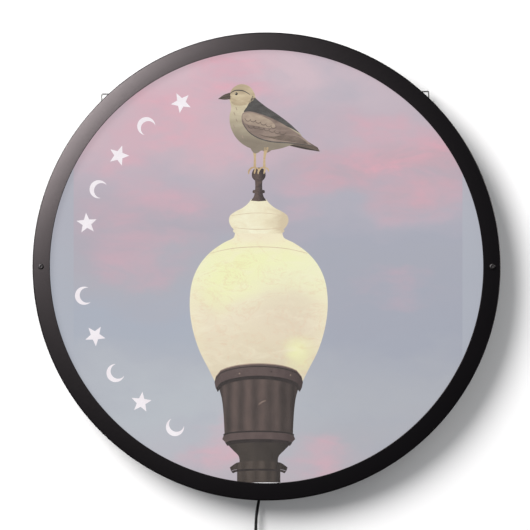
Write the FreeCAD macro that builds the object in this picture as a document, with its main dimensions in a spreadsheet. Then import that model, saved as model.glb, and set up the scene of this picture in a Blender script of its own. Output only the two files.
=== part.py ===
"""Round back-lit wall sign: a satin black sheet-metal light box, 381 mm across, with a printed face lit from
behind by LED bars, two wire hanging rings, a keyhole hanger and a low-voltage lead with a rocker switch and a
wall adapter.

Units are millimetres. +X is the viewer's right, +Z is up and the face looks along -Y. The origin is the centre
of the circle on the wall plane, y = 0, where the back of the pan rests.
"""

import FreeCAD, Part
import math
import os

import Sketcher
from FreeCAD import Placement, Rotation, Vector

os.makedirs("parts", exist_ok=True)
doc = FreeCAD.newDocument("LightedSign")

# ---------------------------------------------------------------- driving dimensions
DIMENSIONS = [
    ("rim_radius", 190.5),  # 15 inch outside diameter
    ("window_radius", 176.0),
    ("front_y", -34.0),  # inner lip of the sloping flange
    ("shoulder_y", -31.5),  # outer edge of the flange
    ("skirt_back_y", -16.0),
    ("bezel_gauge", 1.0),
    ("stack_radius", 180.3),
    ("lens_front_y", -31.2),
    ("lens_back_y", -29.2),
    ("film_back_y", -28.9),
    ("film_cut_z", -175.9),  # straight lower edge of the printed film
    ("diffuser_back_y", -26.4),
    ("pan_radius", 189.4),
    ("pan_gauge", 0.8),
    ("pan_front_y", -29.6),
    ("annulus_y", -12.0),
    ("step_radius", 150.0),
    ("screw_circle", 183.4),
    ("post_radius", 2.6),
    ("seat_y", -32.75),
    ("screw_head_radius", 2.3),
    ("bar_width", 12.0),
    ("bar_front_y", -2.3),
    ("reflector_front_y", -1.1),
    ("reflector_radius", 146.5),
    ("keyhole_z", 78.0),
    ("keyhole_radius", 4.5),
    ("keyhole_slot_radius", 2.2),
    ("keyhole_travel", 12.0),
    ("keyplate_front_y", -1.8),
    ("cup_front_y", -10.8),
    ("hanger_angle_left", 133.7),
    ("hanger_angle_right", 47.2),
    ("hanger_pivot_radius", 184.5),
    ("hanger_pivot_y", -10.2),
    ("hanger_reach", 11.4),
    ("ring_wire_radius", 0.6),
    ("ring_corner_radius", 0.9),
    ("sleeve_radius", 1.48),
    ("sleeve_bore_radius", 0.68),
    ("strap_half_width", 5.0),
    ("strap_gauge", 0.8),
    ("cord_radius", 1.2),
    ("cord_x", -3.0),
    ("cord_y", -6.4),
    ("cord_exit_z", -165.0),
    ("drop_x", -8.8),
    ("switch_z", -249.0),
    ("switch_half_length", 21.0),
    ("switch_half_width", 8.5),
    ("switch_half_depth", 6.0),
    ("rocker_pivot_y", -9.8),
    ("rocker_tilt", 8.0),
    ("coil_z", -296.0),
    ("coil_inner_radius", 6.9),
    ("coil_outer_radius", 19.3),
    ("coil_turn_radius", 18.0),  # the outermost turn
    ("coil_half_width", 5.0),
    ("adapter_top_z", -340.0),
    ("adapter_bottom_z", -394.0),
    ("adapter_half_width", 13.0),
    ("adapter_front_y", -32.4),
    ("adapter_back_y", -0.4),
    ("adapter_split_x", -3.8),
    ("adapter_wall", 2.0),
    ("relief_top_z", -326.0),
]
sheet = doc.addObject("Spreadsheet::Sheet", "Dims")
for row, (alias, value) in enumerate(DIMENSIONS, start=1):
    sheet.set("A%d" % row, alias)
    sheet.set("B%d" % row, str(value))
    sheet.setAlias("B%d" % row, alias)
doc.recompute()
D = {alias: float(getattr(sheet, alias)) for alias, _ in DIMENSIONS}
PARTS = {}


def term(alias, offset=0.0):
    """A size that follows a cell of the sheet: its present value and the expression that keeps it bound."""
    sign = "+" if offset >= 0 else "-"
    text = "Dims.%s %s %g" % (alias, sign, abs(offset)) if offset else "Dims." + alias
    return (D[alias] + offset, text)


def value(item):
    return item[0] if isinstance(item, tuple) else float(item)


def bind(obj, prop, item):
    """Sets a property to a number, or binds it to the sheet."""
    setattr(obj, prop, value(item))
    if isinstance(item, tuple):
        obj.setExpression(prop, item[1])


def keep(name, obj):
    obj.Label = name
    PARTS[name] = obj
    return obj


# ---------------------------------------------------------------- sketch and feature helpers
def make_body(name):
    body = doc.addObject("PartDesign::Body", name + "_body")
    return body


def plane(body, role):
    return [f for f in body.Origin.OriginFeatures if f.Role == role][0]


def new_sketch(body, name, role, offset=0.0):
    sk = body.newObject("Sketcher::SketchObject", name)
    sk.AttachmentSupport = [(plane(body, role), "")]
    sk.MapMode = "FlatFace"
    if offset:
        sk.AttachmentOffset = Placement(Vector(0, 0, offset), Rotation())
    return sk


def pin_point(sk, geo, pos, x, y):
    """Holds a point of the sketch at (x, y) from the sketch's origin."""
    for kind, item in (("DistanceX", x), ("DistanceY", y)):
        number = value(item)
        index = sk.addConstraint(Sketcher.Constraint(kind, -1, 1, geo, pos, number))
        if isinstance(item, tuple):
            sk.setExpression("Constraints[%d]" % index, item[1])


def polygon(sk, points):
    first = sk.GeometryCount
    count = len(points)
    for i in range(count):
        a, b = points[i], points[(i + 1) % count]
        sk.addGeometry(
            Part.LineSegment(
                Vector(value(a[0]), value(a[1]), 0), Vector(value(b[0]), value(b[1]), 0)
            ),
            False,
        )
    for i in range(count):
        sk.addConstraint(
            Sketcher.Constraint("Coincident", first + i, 2, first + (i + 1) % count, 1)
        )
    for i in range(count):
        pin_point(sk, first + i, 1, points[i][0], points[i][1])


def rectangle(sk, x0, y0, x1, y1):
    polygon(sk, [(x0, y0), (x1, y0), (x1, y1), (x0, y1)])


def circle(sk, x, y, radius):
    geo = sk.addGeometry(
        Part.Circle(Vector(value(x), value(y), 0), Vector(0, 0, 1), value(radius)),
        False,
    )
    index = sk.addConstraint(Sketcher.Constraint("Radius", geo, value(radius)))
    if isinstance(radius, tuple):
        sk.setExpression("Constraints[%d]" % index, radius[1])
    pin_point(sk, geo, 3, x, y)


def revolve(body, name, points, role="XY_Plane"):
    """Turns a closed outline about the sketch's vertical axis."""
    sk = new_sketch(body, name + "_outline", role)
    polygon(sk, points)
    rev = body.newObject("PartDesign::Revolution", name + "_turned")
    rev.Profile = sk
    rev.ReferenceAxis = (sk, ["V_Axis"])
    rev.Angle = 360
    doc.recompute()
    return rev


def pad(body, name, sk, length, reverse=False):
    feature = body.newObject("PartDesign::Pad", name)
    feature.Profile = sk
    bind(feature, "Length", length)
    feature.Reversed = reverse
    doc.recompute()
    return feature


def pocket(body, name, sk, length=None, reverse=False):
    """Cuts through everything both ways, or to a length one way, and checks that something was cut."""
    before = body.Shape.Volume
    feature = body.newObject("PartDesign::Pocket", name)
    feature.Profile = sk
    if length is None:
        feature.Type = "ThroughAll"
        feature.SideType = "Symmetric"
    else:
        bind(feature, "Length", length)
        feature.Reversed = reverse
    doc.recompute()
    if not body.Shape.Volume < before - 1e-6:
        raise RuntimeError(name + " cut nothing")
    return feature


def fillet(body, name, base, edges, radius):
    feature = body.newObject("PartDesign::Fillet", name)
    feature.Base = (base, edges)
    bind(feature, "Radius", radius)
    doc.recompute()
    return feature


def ring_edges(feature, radius, y, tol=1e-3):
    """Full circles about the sign's axis at a radius and a depth."""
    found = []
    for i, edge in enumerate(feature.Shape.Edges, start=1):
        curve = edge.Curve
        if getattr(curve, "TypeId", "") == "Part::GeomCircle":
            if (
                abs(curve.Radius - radius) < tol
                and abs(curve.Center.y - y) < tol
                and abs(curve.Center.x) < tol
                and abs(curve.Center.z) < tol
            ):
                found.append("Edge%d" % i)
    if not found:
        raise RuntimeError("no edge at radius %g" % radius)
    return found


def upright_edges(feature, axis):
    """Straight edges that run along one axis of the feature."""
    found = []
    for i, edge in enumerate(feature.Shape.Edges, start=1):
        if getattr(edge.Curve, "TypeId", "") == "Part::GeomLine":
            d = edge.Vertexes[-1].Point - edge.Vertexes[0].Point
            parts = [abs(d.x), abs(d.y), abs(d.z)]
            along = parts["xyz".index(axis)]
            if along > 1e-6 and along > 0.9999 * d.Length:
                found.append("Edge%d" % i)
    return found


def cylinder(name, radius, height, base, direction=Vector(0, 1, 0)):
    obj = doc.addObject("Part::Cylinder", name)
    bind(obj, "Radius", radius)
    bind(obj, "Height", height)
    obj.Placement = Placement(base, Rotation(Vector(0, 0, 1), direction))
    return obj


def block(name, x0, y0, z0, x1, y1, z1):
    obj = doc.addObject("Part::Box", name)
    bind(obj, "Length", x1 - x0)
    bind(obj, "Width", y1 - y0)
    bind(obj, "Height", z1 - z0)
    obj.Placement = Placement(Vector(x0, y0, z0), Rotation())
    return obj


def fuse(name, items):
    obj = doc.addObject("Part::MultiFuse", name)
    obj.Shapes = items
    return obj


def cut(name, base, tool):
    obj = doc.addObject("Part::Cut", name)
    obj.Base = base
    obj.Tool = tool
    return obj


def group(name, items):
    obj = doc.addObject("Part::Compound", name)
    obj.Links = items
    return obj


def copies(name, source, placements):
    """Identical pieces: one modelled solid repeated at several places."""
    doc.recompute()
    shapes = []
    for place in placements:
        shape = source.Shape.copy()
        shape.Placement = place.multiply(shape.Placement)
        shapes.append(shape)
    obj = doc.addObject("Part::Feature", name)
    obj.Shape = Part.makeCompound(shapes)
    obj.Placement = Placement()
    return obj


def route_wire(points, label):
    """Straight runs joined by tangent arcs, as large as the runs allow."""
    pts = [Vector(*p) for p in points]
    radii = []
    trims = [0.0]
    arcs = [None]
    for i in range(1, len(pts) - 1):
        a = (pts[i] - pts[i - 1]).normalize()
        b = (pts[i + 1] - pts[i]).normalize()
        turn = a.getAngle(b)
        short = min((pts[i] - pts[i - 1]).Length, (pts[i + 1] - pts[i]).Length)
        trim = 0.45 * short
        radius = trim / math.tan(turn / 2)
        radii.append(radius)
        inward = (b - a).normalize()
        middle = pts[i] + inward * (radius / math.cos(turn / 2) - radius)
        trims.append(trim)
        arcs.append((pts[i] - a * trim, middle, pts[i] + b * trim))
    trims.append(0.0)
    edges = []
    here = pts[0]
    for i in range(1, len(pts) - 1):
        start, middle, end = arcs[i]
        edges.append(Part.LineSegment(here, start).toShape())
        edges.append(Part.Arc(start, middle, end).toShape())
        here = end
    edges.append(Part.LineSegment(here, pts[-1]).toShape())
    wire = Part.Wire(edges)
    print(
        label,
        "runs",
        ["%.1f" % (pts[i + 1] - pts[i]).Length for i in range(len(pts) - 1)],
        "radii",
        ["%.1f" % r for r in radii],
        "length %.2f" % wire.Length,
    )
    return wire


def tube_along(points, radius, label):
    wire = route_wire(points, label)
    start = Vector(*points[0])
    direction = (Vector(*points[1]) - start).normalize()
    profile = Part.Wire([Part.Circle(start, direction, radius).toShape()])
    solid = wire.makePipeShell([profile], True, False)
    section = math.pi * radius * radius
    print(label, "volume %.3f, section x length %.3f" % (solid.Volume, section * wire.Length))
    if abs(solid.Volume - section * wire.Length) > 0.002 * solid.Volume:
        raise RuntimeError(label + " has the wrong volume")
    return solid


def tube(name, points, radius):
    solid = tube_along(points, radius, name)
    obj = doc.addObject("Part::Feature", name)
    obj.Shape = solid
    obj.Placement = Placement()
    return keep(name, obj)


# ---------------------------------------------------------------- shared positions
SCREWS = [(D["screw_circle"], 0.0), (-D["screw_circle"], 0.0)]
HANGERS = {"left": D["hanger_angle_left"], "right": D["hanger_angle_right"]}
HANGER_RIVETS = [(169.5, -2.7), (169.5, 2.7)]  # along the radius, across it
KEY_RIVETS = [(-15.0, 68.0), (15.0, 68.0), (-15.0, 99.0), (15.0, 99.0)]
BARS = [  # height, half length, lamp positions
    (110.0, 84.0, (-66.0, -22.0, 22.0, 66.0)),
    (55.0, 127.0, (-110.0, -66.0, -22.0, 22.0, 66.0, 110.0)),
    (0.0, 136.0, (-110.0, -66.0, -22.0, 22.0, 66.0, 110.0)),
    (-55.0, 127.0, (-110.0, -66.0, -22.0, 22.0, 66.0, 110.0)),
    (-110.0, 84.0, (-66.0, -22.0, 22.0, 66.0)),
]
BAR_SCREWS = [(side * (half - 6.0), z) for z, half, _ in BARS for side in (-1, 1)]
LAMPS = [(x, z) for z, _, xs in BARS for x in xs]


def hanger_place(side):
    """Turns the +X direction to the hanger's own radius."""
    return Placement(Vector(), Rotation(Vector(0, 1, 0), -HANGERS[side]))


def hanger_point(side, radius, across, y=0.0):
    return hanger_place(side).multVec(Vector(radius, y, across))


# ================================================================ face bezel
body = make_body("bezel_ring")
slope = (D["shoulder_y"] - D["front_y"]) / (D["rim_radius"] - D["window_radius"])
under = D["front_y"] + D["bezel_gauge"]  # underside of the lip
turned = revolve(
    body,
    "bezel_ring",
    [
        (term("window_radius"), term("front_y")),
        (term("rim_radius"), term("shoulder_y")),
        (term("rim_radius"), term("skirt_back_y")),
        (term("rim_radius", -D["bezel_gauge"]), term("skirt_back_y")),
        (
            term("rim_radius", -D["bezel_gauge"]),
            term("shoulder_y", D["bezel_gauge"] * (1 - slope) + 0.01),
        ),
        (term("window_radius"), term("front_y", D["bezel_gauge"])),
    ],
)
rounded = fillet(
    body, "rim_round", turned, ring_edges(turned, D["rim_radius"], D["shoulder_y"]), 1.4
)
# flat seats for the two face screws
SEAT = 1.5  # thickness of the metal under a screw head
sk = new_sketch(body, "seat_outline", "XZ_Plane", -D["seat_y"] - SEAT)
for x, z in SCREWS:
    circle(sk, x, z, 2.9)
seats = pad(body, "seats", sk, SEAT)
sk = new_sketch(body, "seat_face", "XZ_Plane", -D["seat_y"])
for x, z in SCREWS:
    circle(sk, x, z, 2.9)
pocket(body, "seat_flats", sk, 3.0, reverse=True)
sk = new_sketch(body, "screw_holes", "XZ_Plane")
for x, z in SCREWS:
    circle(sk, x, z, 1.35)
pocket(body, "screw_bores", sk)
keep("bezel_ring", body)

# ================================================================ face stack
body = make_body("face_gasket")
y_at = lambda r: under + 0.02 + (r - D["window_radius"]) * slope
revolve(
    body,
    "face_gasket",
    [
        (term("window_radius", 1.0), y_at(D["window_radius"] + 1.0)),
        (term("stack_radius"), y_at(D["stack_radius"])),
        (term("stack_radius"), term("lens_front_y")),
        (term("window_radius", 1.0), term("lens_front_y")),
    ],
)
keep("face_gasket", body)

body = make_body("face_lens")
lens = revolve(
    body,
    "face_lens",
    [
        (0.0, term("lens_front_y")),
        (term("stack_radius", -0.4), term("lens_front_y")),
        (term("stack_radius"), term("lens_front_y", 0.4)),
        (term("stack_radius"), term("lens_back_y")),
        (0.0, term("lens_back_y")),
    ],
)
keep("face_lens", body)

body = make_body("graphic_film")
film = revolve(
    body,
    "graphic_film",
    [
        (0.0, term("lens_back_y")),
        (term("stack_radius"), term("lens_back_y")),
        (term("stack_radius"), term("film_back_y")),
        (0.0, term("film_back_y")),
    ],
)
sk = new_sketch(body, "trim_line", "XZ_Plane")
rectangle(sk, -60.0, -190.0, 60.0, term("film_cut_z"))
pocket(body, "straight_trim", sk)
keep("graphic_film", body)

body = make_body("diffuser_panel")
revolve(
    body,
    "diffuser_panel",
    [
        (0.0, term("film_back_y")),
        (term("stack_radius"), term("film_back_y")),
        (term("stack_radius"), term("diffuser_back_y")),
        (0.0, term("diffuser_back_y")),
    ],
)
keep("diffuser_panel", body)

body = make_body("panel_support_ring")
revolve(
    body,
    "panel_support_ring",
    [
        (term("stack_radius", -3.8), term("diffuser_back_y")),
        (term("stack_radius"), term("diffuser_back_y")),
        (term("stack_radius"), term("annulus_y", -D["pan_gauge"])),
        (term("stack_radius", -2.0), term("annulus_y", -D["pan_gauge"])),
        (term("stack_radius", -2.0), term("diffuser_back_y", 1.4)),
        (term("stack_radius", -3.8), term("diffuser_back_y", 1.4)),
    ],
)
keep("panel_support_ring", body)

# ================================================================ rear pan
body = make_body("rear_pan")
g = D["pan_gauge"]
pan = revolve(
    body,
    "rear_pan",
    [
        (0.0, -g),
        (term("step_radius", -g), -g),
        (term("step_radius", -g), term("annulus_y", -g)),
        (term("pan_radius", -g), term("annulus_y", -g)),
        (term("pan_radius", -g), term("pan_front_y")),
        (term("pan_radius"), term("pan_front_y")),
        (term("pan_radius"), term("annulus_y")),
        (term("step_radius"), term("annulus_y")),
        (term("step_radius"), 0.0),
        (0.0, 0.0),
    ],
)
pan_round = fillet(
    body,
    "pan_rounds",
    pan,
    ring_edges(pan, D["pan_radius"], D["annulus_y"]) + ring_edges(pan, D["step_radius"], 0.0),
    0.7,
)
sk = new_sketch(body, "keyhole_window", "XZ_Plane")
rectangle(sk, -12.0, 65.0, 12.0, 102.0)
pocket(body, "keyhole_window_cut", sk)
sk = new_sketch(body, "fastener_holes", "XZ_Plane")
for x, z in KEY_RIVETS:
    circle(sk, x, z, 1.0)
for side in HANGERS:
    for along, across in HANGER_RIVETS:
        p = hanger_point(side, along, across)
        circle(sk, p.x, p.z, 1.0)
for x, z in BAR_SCREWS:
    circle(sk, x, z, 1.35)
pocket(body, "fastener_bores", sk)
sk = new_sketch(body, "vent_row", "XZ_Plane")
for row_z in (126.0, -137.0):
    for i in range(-4, 5):
        rectangle(sk, 9.0 * i - 1.3, row_z, 9.0 * i + 1.3, row_z + 11.0)
pocket(body, "vents", sk)
sk = new_sketch(body, "cord_hole", "XY_Plane", -D["step_radius"] - 5.0)
circle(sk, term("cord_x"), term("cord_y"), 4.0)
pocket(body, "cord_bore", sk, 10.0, reverse=True)
keep("rear_pan", body)

# ================================================================ posts and face screws
def post(name, x, z):
    height = (D["seat_y"] + SEAT) - (D["annulus_y"] - g)
    outer = cylinder(name + "_shank", term("post_radius"), -height, Vector(x, D["seat_y"] + SEAT, z))
    bore = cylinder(name + "_tap", 1.25, 9.5, Vector(x, D["seat_y"] + SEAT, z))
    return cut(name, outer, bore)


keep("bezel_posts", group("bezel_posts_group", [post("post_%d" % i, x, z) for i, (x, z) in enumerate(SCREWS)]))

body = make_body("face_screw")
screw = revolve(
    body,
    "face_screw",
    [
        (0.0, D["seat_y"] - 0.75),
        (0.8, D["seat_y"] - 0.75),
        (1.0, D["seat_y"] - 1.3),
        (1.35, D["seat_y"] - 1.3),
        (1.95, D["seat_y"] - 1.0),
        (term("screw_head_radius"), D["seat_y"] - 0.45),
        (term("screw_head_radius"), term("seat_y")),
        (1.2, term("seat_y")),
        (1.2, D["seat_y"] + 9.0),
        (0.9, D["seat_y"] + 9.5),
        (0.0, D["seat_y"] + 9.5),
    ],
)
keep(
    "bezel_screws",
    copies("bezel_screws_group", body, [Placement(Vector(x, 0, z), Rotation()) for x, z in SCREWS]),
)

# ================================================================ light engine
body = make_body("reflector_sheet")
revolve(
    body,
    "reflector_sheet",
    [
        (0.0, term("reflector_front_y")),
        (term("reflector_radius"), term("reflector_front_y")),
        (term("reflector_radius"), -g),
        (0.0, -g),
    ],
)
sk = new_sketch(body, "cutout", "XZ_Plane")
rectangle(sk, -18.0, 63.5, 18.0, 103.5)
pocket(body, "keyhole_cutout", sk)
sk = new_sketch(body, "screw_clearance", "XZ_Plane")
for x, z in BAR_SCREWS:
    circle(sk, x, z, 1.35)
pocket(body, "screw_clearances", sk)
keep("reflector_sheet", body)

bars = []
for n, (z, half, _) in enumerate(BARS):
    body = make_body("bar_%d" % n)
    sk = new_sketch(body, "bar_outline_%d" % n, "XZ_Plane", -D["reflector_front_y"])
    rectangle(sk, -half, z - D["bar_width"] / 2, half, z + D["bar_width"] / 2)
    strip = pad(body, "bar_strip_%d" % n, sk, D["reflector_front_y"] - D["bar_front_y"])
    fillet(body, "bar_corners_%d" % n, strip, upright_edges(strip, "y"), 1.0)
    sk = new_sketch(body, "bar_hole_outline_%d" % n, "XZ_Plane")
    for side in (-1, 1):
        circle(sk, side * (half - 6.0), z, 1.35)
    pocket(body, "bar_holes_%d" % n, sk)
    bars.append(body)
keep("led_bars", group("led_bars_group", bars))

packages = []
for n, (x, z) in enumerate(LAMPS):
    packages.append(
        block("package_%d" % n, x - 1.5, D["bar_front_y"] - 1.2, z - 1.5, x + 1.5, D["bar_front_y"], z + 1.5)
    )
keep("led_packages", group("led_packages_group", packages))

body = make_body("lamp_lens")
f = D["bar_front_y"]
dome = revolve(
    body,
    "lamp_lens",
    [
        (3.0, f),
        (7.0, f),
        (7.0, f - 1.6),
        (6.3, f - 3.0),
        (5.0, f - 4.0),
        (2.4, f - 4.4),
        (0.0, f - 3.7),
        (0.0, f - 2.2),
        (2.4, f - 1.8),
    ],
)
keep(
    "led_lenses",
    copies("led_lenses_group", body, [Placement(Vector(x, 0, z), Rotation()) for x, z in LAMPS]),
)

body = make_body("bar_screw")
revolve(
    body,
    "bar_screw",
    [
        (0.0, f - 0.9),
        (0.9, f - 1.5),
        (1.9, f - 1.2),
        (2.4, f - 0.5),
        (2.4, f),
        (1.25, f),
        (1.25, -0.3),
        (1.0, -0.05),
        (0.0, -0.05),
    ],
)
keep(
    "led_bar_screws",
    copies("led_bar_screws_group", body, [Placement(Vector(x, 0, z), Rotation()) for x, z in BAR_SCREWS]),
)

wires = []
for n in range(len(BARS) - 1):
    top, bottom = BARS[n][0] - 3.0, BARS[n + 1][0] + 3.0
    wires.append(
        tube_along(
            [(-44.0, f, top), (-44.0, f - 3.2, top), (-44.0, f - 3.2, bottom), (-44.0, f, bottom)],
            0.8,
            "jumper %d" % n,
        )
    )
wires.append(
    tube_along(
        [(D["cord_x"], f, -112.5), (D["cord_x"], -6.4, -112.5), (D["cord_x"], -6.4, -129.0)],
        0.8,
        "feed wire",
    )
)
jumpers = doc.addObject("Part::Feature", "led_jumper_wires")
jumpers.Shape = Part.makeCompound(wires)
jumpers.Placement = Placement()
keep("led_jumper_wires", jumpers)

terminal_box = block("terminal_box", -9.0, -11.2, -138.0, 3.0, D["reflector_front_y"], -129.0)
terminal_way = cylinder("terminal_way", 1.25, 5.0, Vector(D["cord_x"], D["cord_y"], -138.0), Vector(0, 0, 1))
terminal_taps = [
    cylinder("terminal_tap_%d" % i, 1.6, 1.5, Vector(D["cord_x"] + dx, -11.2, -133.5)) for i, dx in enumerate((-3.0, 3.0))
]
keep("input_terminal", cut("input_terminal_cut", terminal_box, fuse("terminal_voids", [terminal_way] + terminal_taps)))
body = make_body("terminal_screw")
revolve(
    body,
    "terminal_screw",
    [(0.0, -10.6), (0.5, -10.9), (1.5, -10.9), (1.5, -9.7), (0.0, -9.7)],
)
keep(
    "terminal_screws",
    copies(
        "terminal_screws_group",
        body,
        [Placement(Vector(D["cord_x"] + dx, 0, -133.5), Rotation()) for dx in (-3.0, 3.0)],
    ),
)

# ================================================================ keyhole hanger
body = make_body("keyhole_plate")
sk = new_sketch(body, "plate_outline", "XZ_Plane", g)
rectangle(sk, -17.0, 64.0, 17.0, 103.0)
plate = pad(body, "plate", sk, 1.0)
plate = fillet(body, "plate_corners", plate, upright_edges(plate, "y"), 2.0)
sk = new_sketch(body, "keyhole_round", "XZ_Plane")
circle(sk, 0.0, term("keyhole_z"), term("keyhole_radius"))
pocket(body, "keyhole_entry", sk)
sk = new_sketch(body, "keyhole_neck", "XZ_Plane")
rectangle(
    sk,
    -D["keyhole_slot_radius"],
    term("keyhole_z"),
    D["keyhole_slot_radius"],
    term("keyhole_z", D["keyhole_travel"]),
)
pocket(body, "keyhole_slot", sk)
sk = new_sketch(body, "keyhole_top", "XZ_Plane")
circle(sk, 0.0, term("keyhole_z", D["keyhole_travel"]), term("keyhole_slot_radius"))
pocket(body, "keyhole_seat", sk)
sk = new_sketch(body, "plate_rivets", "XZ_Plane")
for x, z in KEY_RIVETS:
    circle(sk, x, z, 1.0)
pocket(body, "plate_rivet_holes", sk)
keep("keyhole_plate", body)

body = make_body("keyhole_cup")
sk = new_sketch(body, "cup_outline", "XZ_Plane", -D["keyplate_front_y"])
rectangle(sk, -13.0, 65.5, 13.0, 101.5)
cup = pad(body, "cup_block", sk, D["keyplate_front_y"] - D["cup_front_y"])
cup = fillet(body, "cup_corners", cup, upright_edges(cup, "y"), 2.0)
sk = new_sketch(body, "cup_hollow", "XZ_Plane", -D["keyplate_front_y"])
rectangle(sk, -12.0, 66.5, 12.0, 100.5)
pocket(body, "cup_cavity", sk, D["keyplate_front_y"] - D["cup_front_y"] - 1.0, reverse=True)
keep("keyhole_cup", body)

body = make_body("key_rivet")
k = D["keyplate_front_y"]
revolve(
    body,
    "key_rivet",
    [(0.0, k - 0.8), (0.8, k - 0.7), (1.5, k - 0.2), (1.5, k), (1.0, k), (1.0, -0.05), (0.0, -0.05)],
)
keep(
    "keyhole_rivets",
    copies("keyhole_rivets_group", body, [Placement(Vector(x, 0, z), Rotation()) for x, z in KEY_RIVETS]),
)

# ================================================================ hanging rings
def hanger_strap(side):
    """A folded strap: a flat leaf riveted to the pan and an eye rolled round the ring's straight side."""
    name = "hanger_strap_" + side
    leaf_back = D["annulus_y"] + D["strap_gauge"]
    body = make_body(name)
    sk = new_sketch(body, name + "_leaf", "XZ_Plane", -leaf_back)
    rectangle(
        sk, 165.5, -D["strap_half_width"], term("hanger_pivot_radius"), D["strap_half_width"]
    )
    leaf = pad(body, name + "_pad", sk, term("strap_gauge"))
    sk = new_sketch(body, name + "_eye", "XY_Plane")
    circle(sk, term("hanger_pivot_radius"), term("hanger_pivot_y"), term("sleeve_radius"))
    eye = body.newObject("PartDesign::Pad", name + "_eye_pad")
    eye.Profile = sk
    eye.Length = 2 * D["strap_half_width"]
    eye.SideType = "Symmetric"
    doc.recompute()
    sk = new_sketch(body, name + "_bore", "XY_Plane")
    circle(sk, term("hanger_pivot_radius"), term("hanger_pivot_y"), term("sleeve_bore_radius"))
    pocket(body, name + "_bore_cut", sk)
    sk = new_sketch(body, name + "_rivets", "XZ_Plane")
    for along, across in HANGER_RIVETS:
        circle(sk, along, across, 1.0)
    pocket(body, name + "_rivet_cut", sk)
    body.Placement = hanger_place(side)
    return keep(name, body)


def hanger_ring(side):
    """A bent wire triangle; its long side turns in the strap's eye."""
    name = "hanger_ring_" + side
    reach, r = D["hanger_reach"], D["ring_corner_radius"]
    x0, y0 = D["hanger_pivot_radius"], D["hanger_pivot_y"]
    corners = [Vector(x0, y0, -reach), Vector(x0 + reach, y0, 0), Vector(x0, y0, reach)]
    edges = []
    ends = []
    for i in range(3):
        p, before, after = corners[i], corners[i - 1], corners[(i + 1) % 3]
        a = (p - before).normalize()
        b = (after - p).normalize()
        turn = a.getAngle(b)
        trim = r * math.tan(turn / 2)
        inward = (b - a).normalize()
        middle = p + inward * (r / math.cos(turn / 2) - r)
        ends.append((p - a * trim, middle, p + b * trim))
    for i in range(3):
        start, middle, end = ends[i]
        edges.append(Part.Arc(start, middle, end).toShape())
        edges.append(Part.LineSegment(end, ends[(i + 1) % 3][0]).toShape())
    # start the sweep in the middle of the long side
    long_edge = edges.pop()
    a, b = long_edge.Vertexes[0].Point, long_edge.Vertexes[-1].Point
    mid = (a + b) * 0.5
    edges = [Part.LineSegment(mid, b).toShape()] + edges + [Part.LineSegment(a, mid).toShape()]
    wire = Part.Wire(edges)
    profile = Part.Wire([Part.Circle(mid, (b - a).normalize(), D["ring_wire_radius"]).toShape()])
    solid = wire.makePipeShell([profile], True, False)
    expect = math.pi * D["ring_wire_radius"] ** 2 * wire.Length
    print(name, "volume %.3f, section x length %.3f" % (solid.Volume, expect))
    obj = doc.addObject("Part::Feature", name + "_wire")
    obj.Shape = solid
    obj.Placement = hanger_place(side)
    return keep(name, obj)


for side in HANGERS:
    hanger_strap(side)
    hanger_ring(side)

body = make_body("hanger_rivet")
b0 = D["annulus_y"] + D["strap_gauge"]  # back of the strap
a0 = D["annulus_y"] - g  # front of the pan's floor
revolve(
    body,
    "hanger_rivet",
    [
        (0.0, b0 + 0.75),
        (0.9, b0 + 0.6),
        (1.6, b0 + 0.15),
        (1.6, b0),
        (1.0, b0),
        (1.0, a0),
        (1.6, a0),
        (1.6, a0 - 0.2),
        (1.2, a0 - 0.6),
        (0.0, a0 - 0.6),
    ],
)
places = []
for side in HANGERS:
    for along, across in HANGER_RIVETS:
        p = hanger_point(side, along, across)
        places.append(Placement(Vector(p.x, 0, p.z), Rotation()))
keep("hanger_rivets", copies("hanger_rivets_group", body, places))

# ================================================================ cord entry
body = make_body("cord_grommet")
revolve(
    body,
    "cord_grommet",
    [
        (1.25, -147.6),
        (4.2, -147.6),
        (4.6, -148.0),
        (4.6, -148.9),
        (3.9, -148.9),
        (3.9, -150.2),
        (4.6, -150.2),
        (4.6, -151.1),
        (4.2, -151.5),
        (2.9, -151.5),
        (1.9, term("cord_exit_z")),
        (1.25, term("cord_exit_z")),
    ],
    role="XZ_Plane",
)
body.Placement = Placement(Vector(D["cord_x"], D["cord_y"], 0), Rotation())
keep("cord_grommet", body)

lead = cylinder(
    "input_lead_core",
    term("cord_radius"),
    -133.0 - D["cord_exit_z"],
    Vector(D["cord_x"], D["cord_y"], D["cord_exit_z"]),
    Vector(0, 0, 1),
)
keep("input_lead", lead)

body = make_body("cord_stop")
revolve(
    body,
    "cord_stop",
    [(1.2, -147.3), (2.8, -147.3), (3.1, -147.0), (3.1, -143.7), (2.8, -143.4), (1.2, -143.4)],
    role="XZ_Plane",
)
body.Placement = Placement(Vector(D["cord_x"], D["cord_y"], 0), Rotation())
keep("cord_stop", body)

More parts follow.
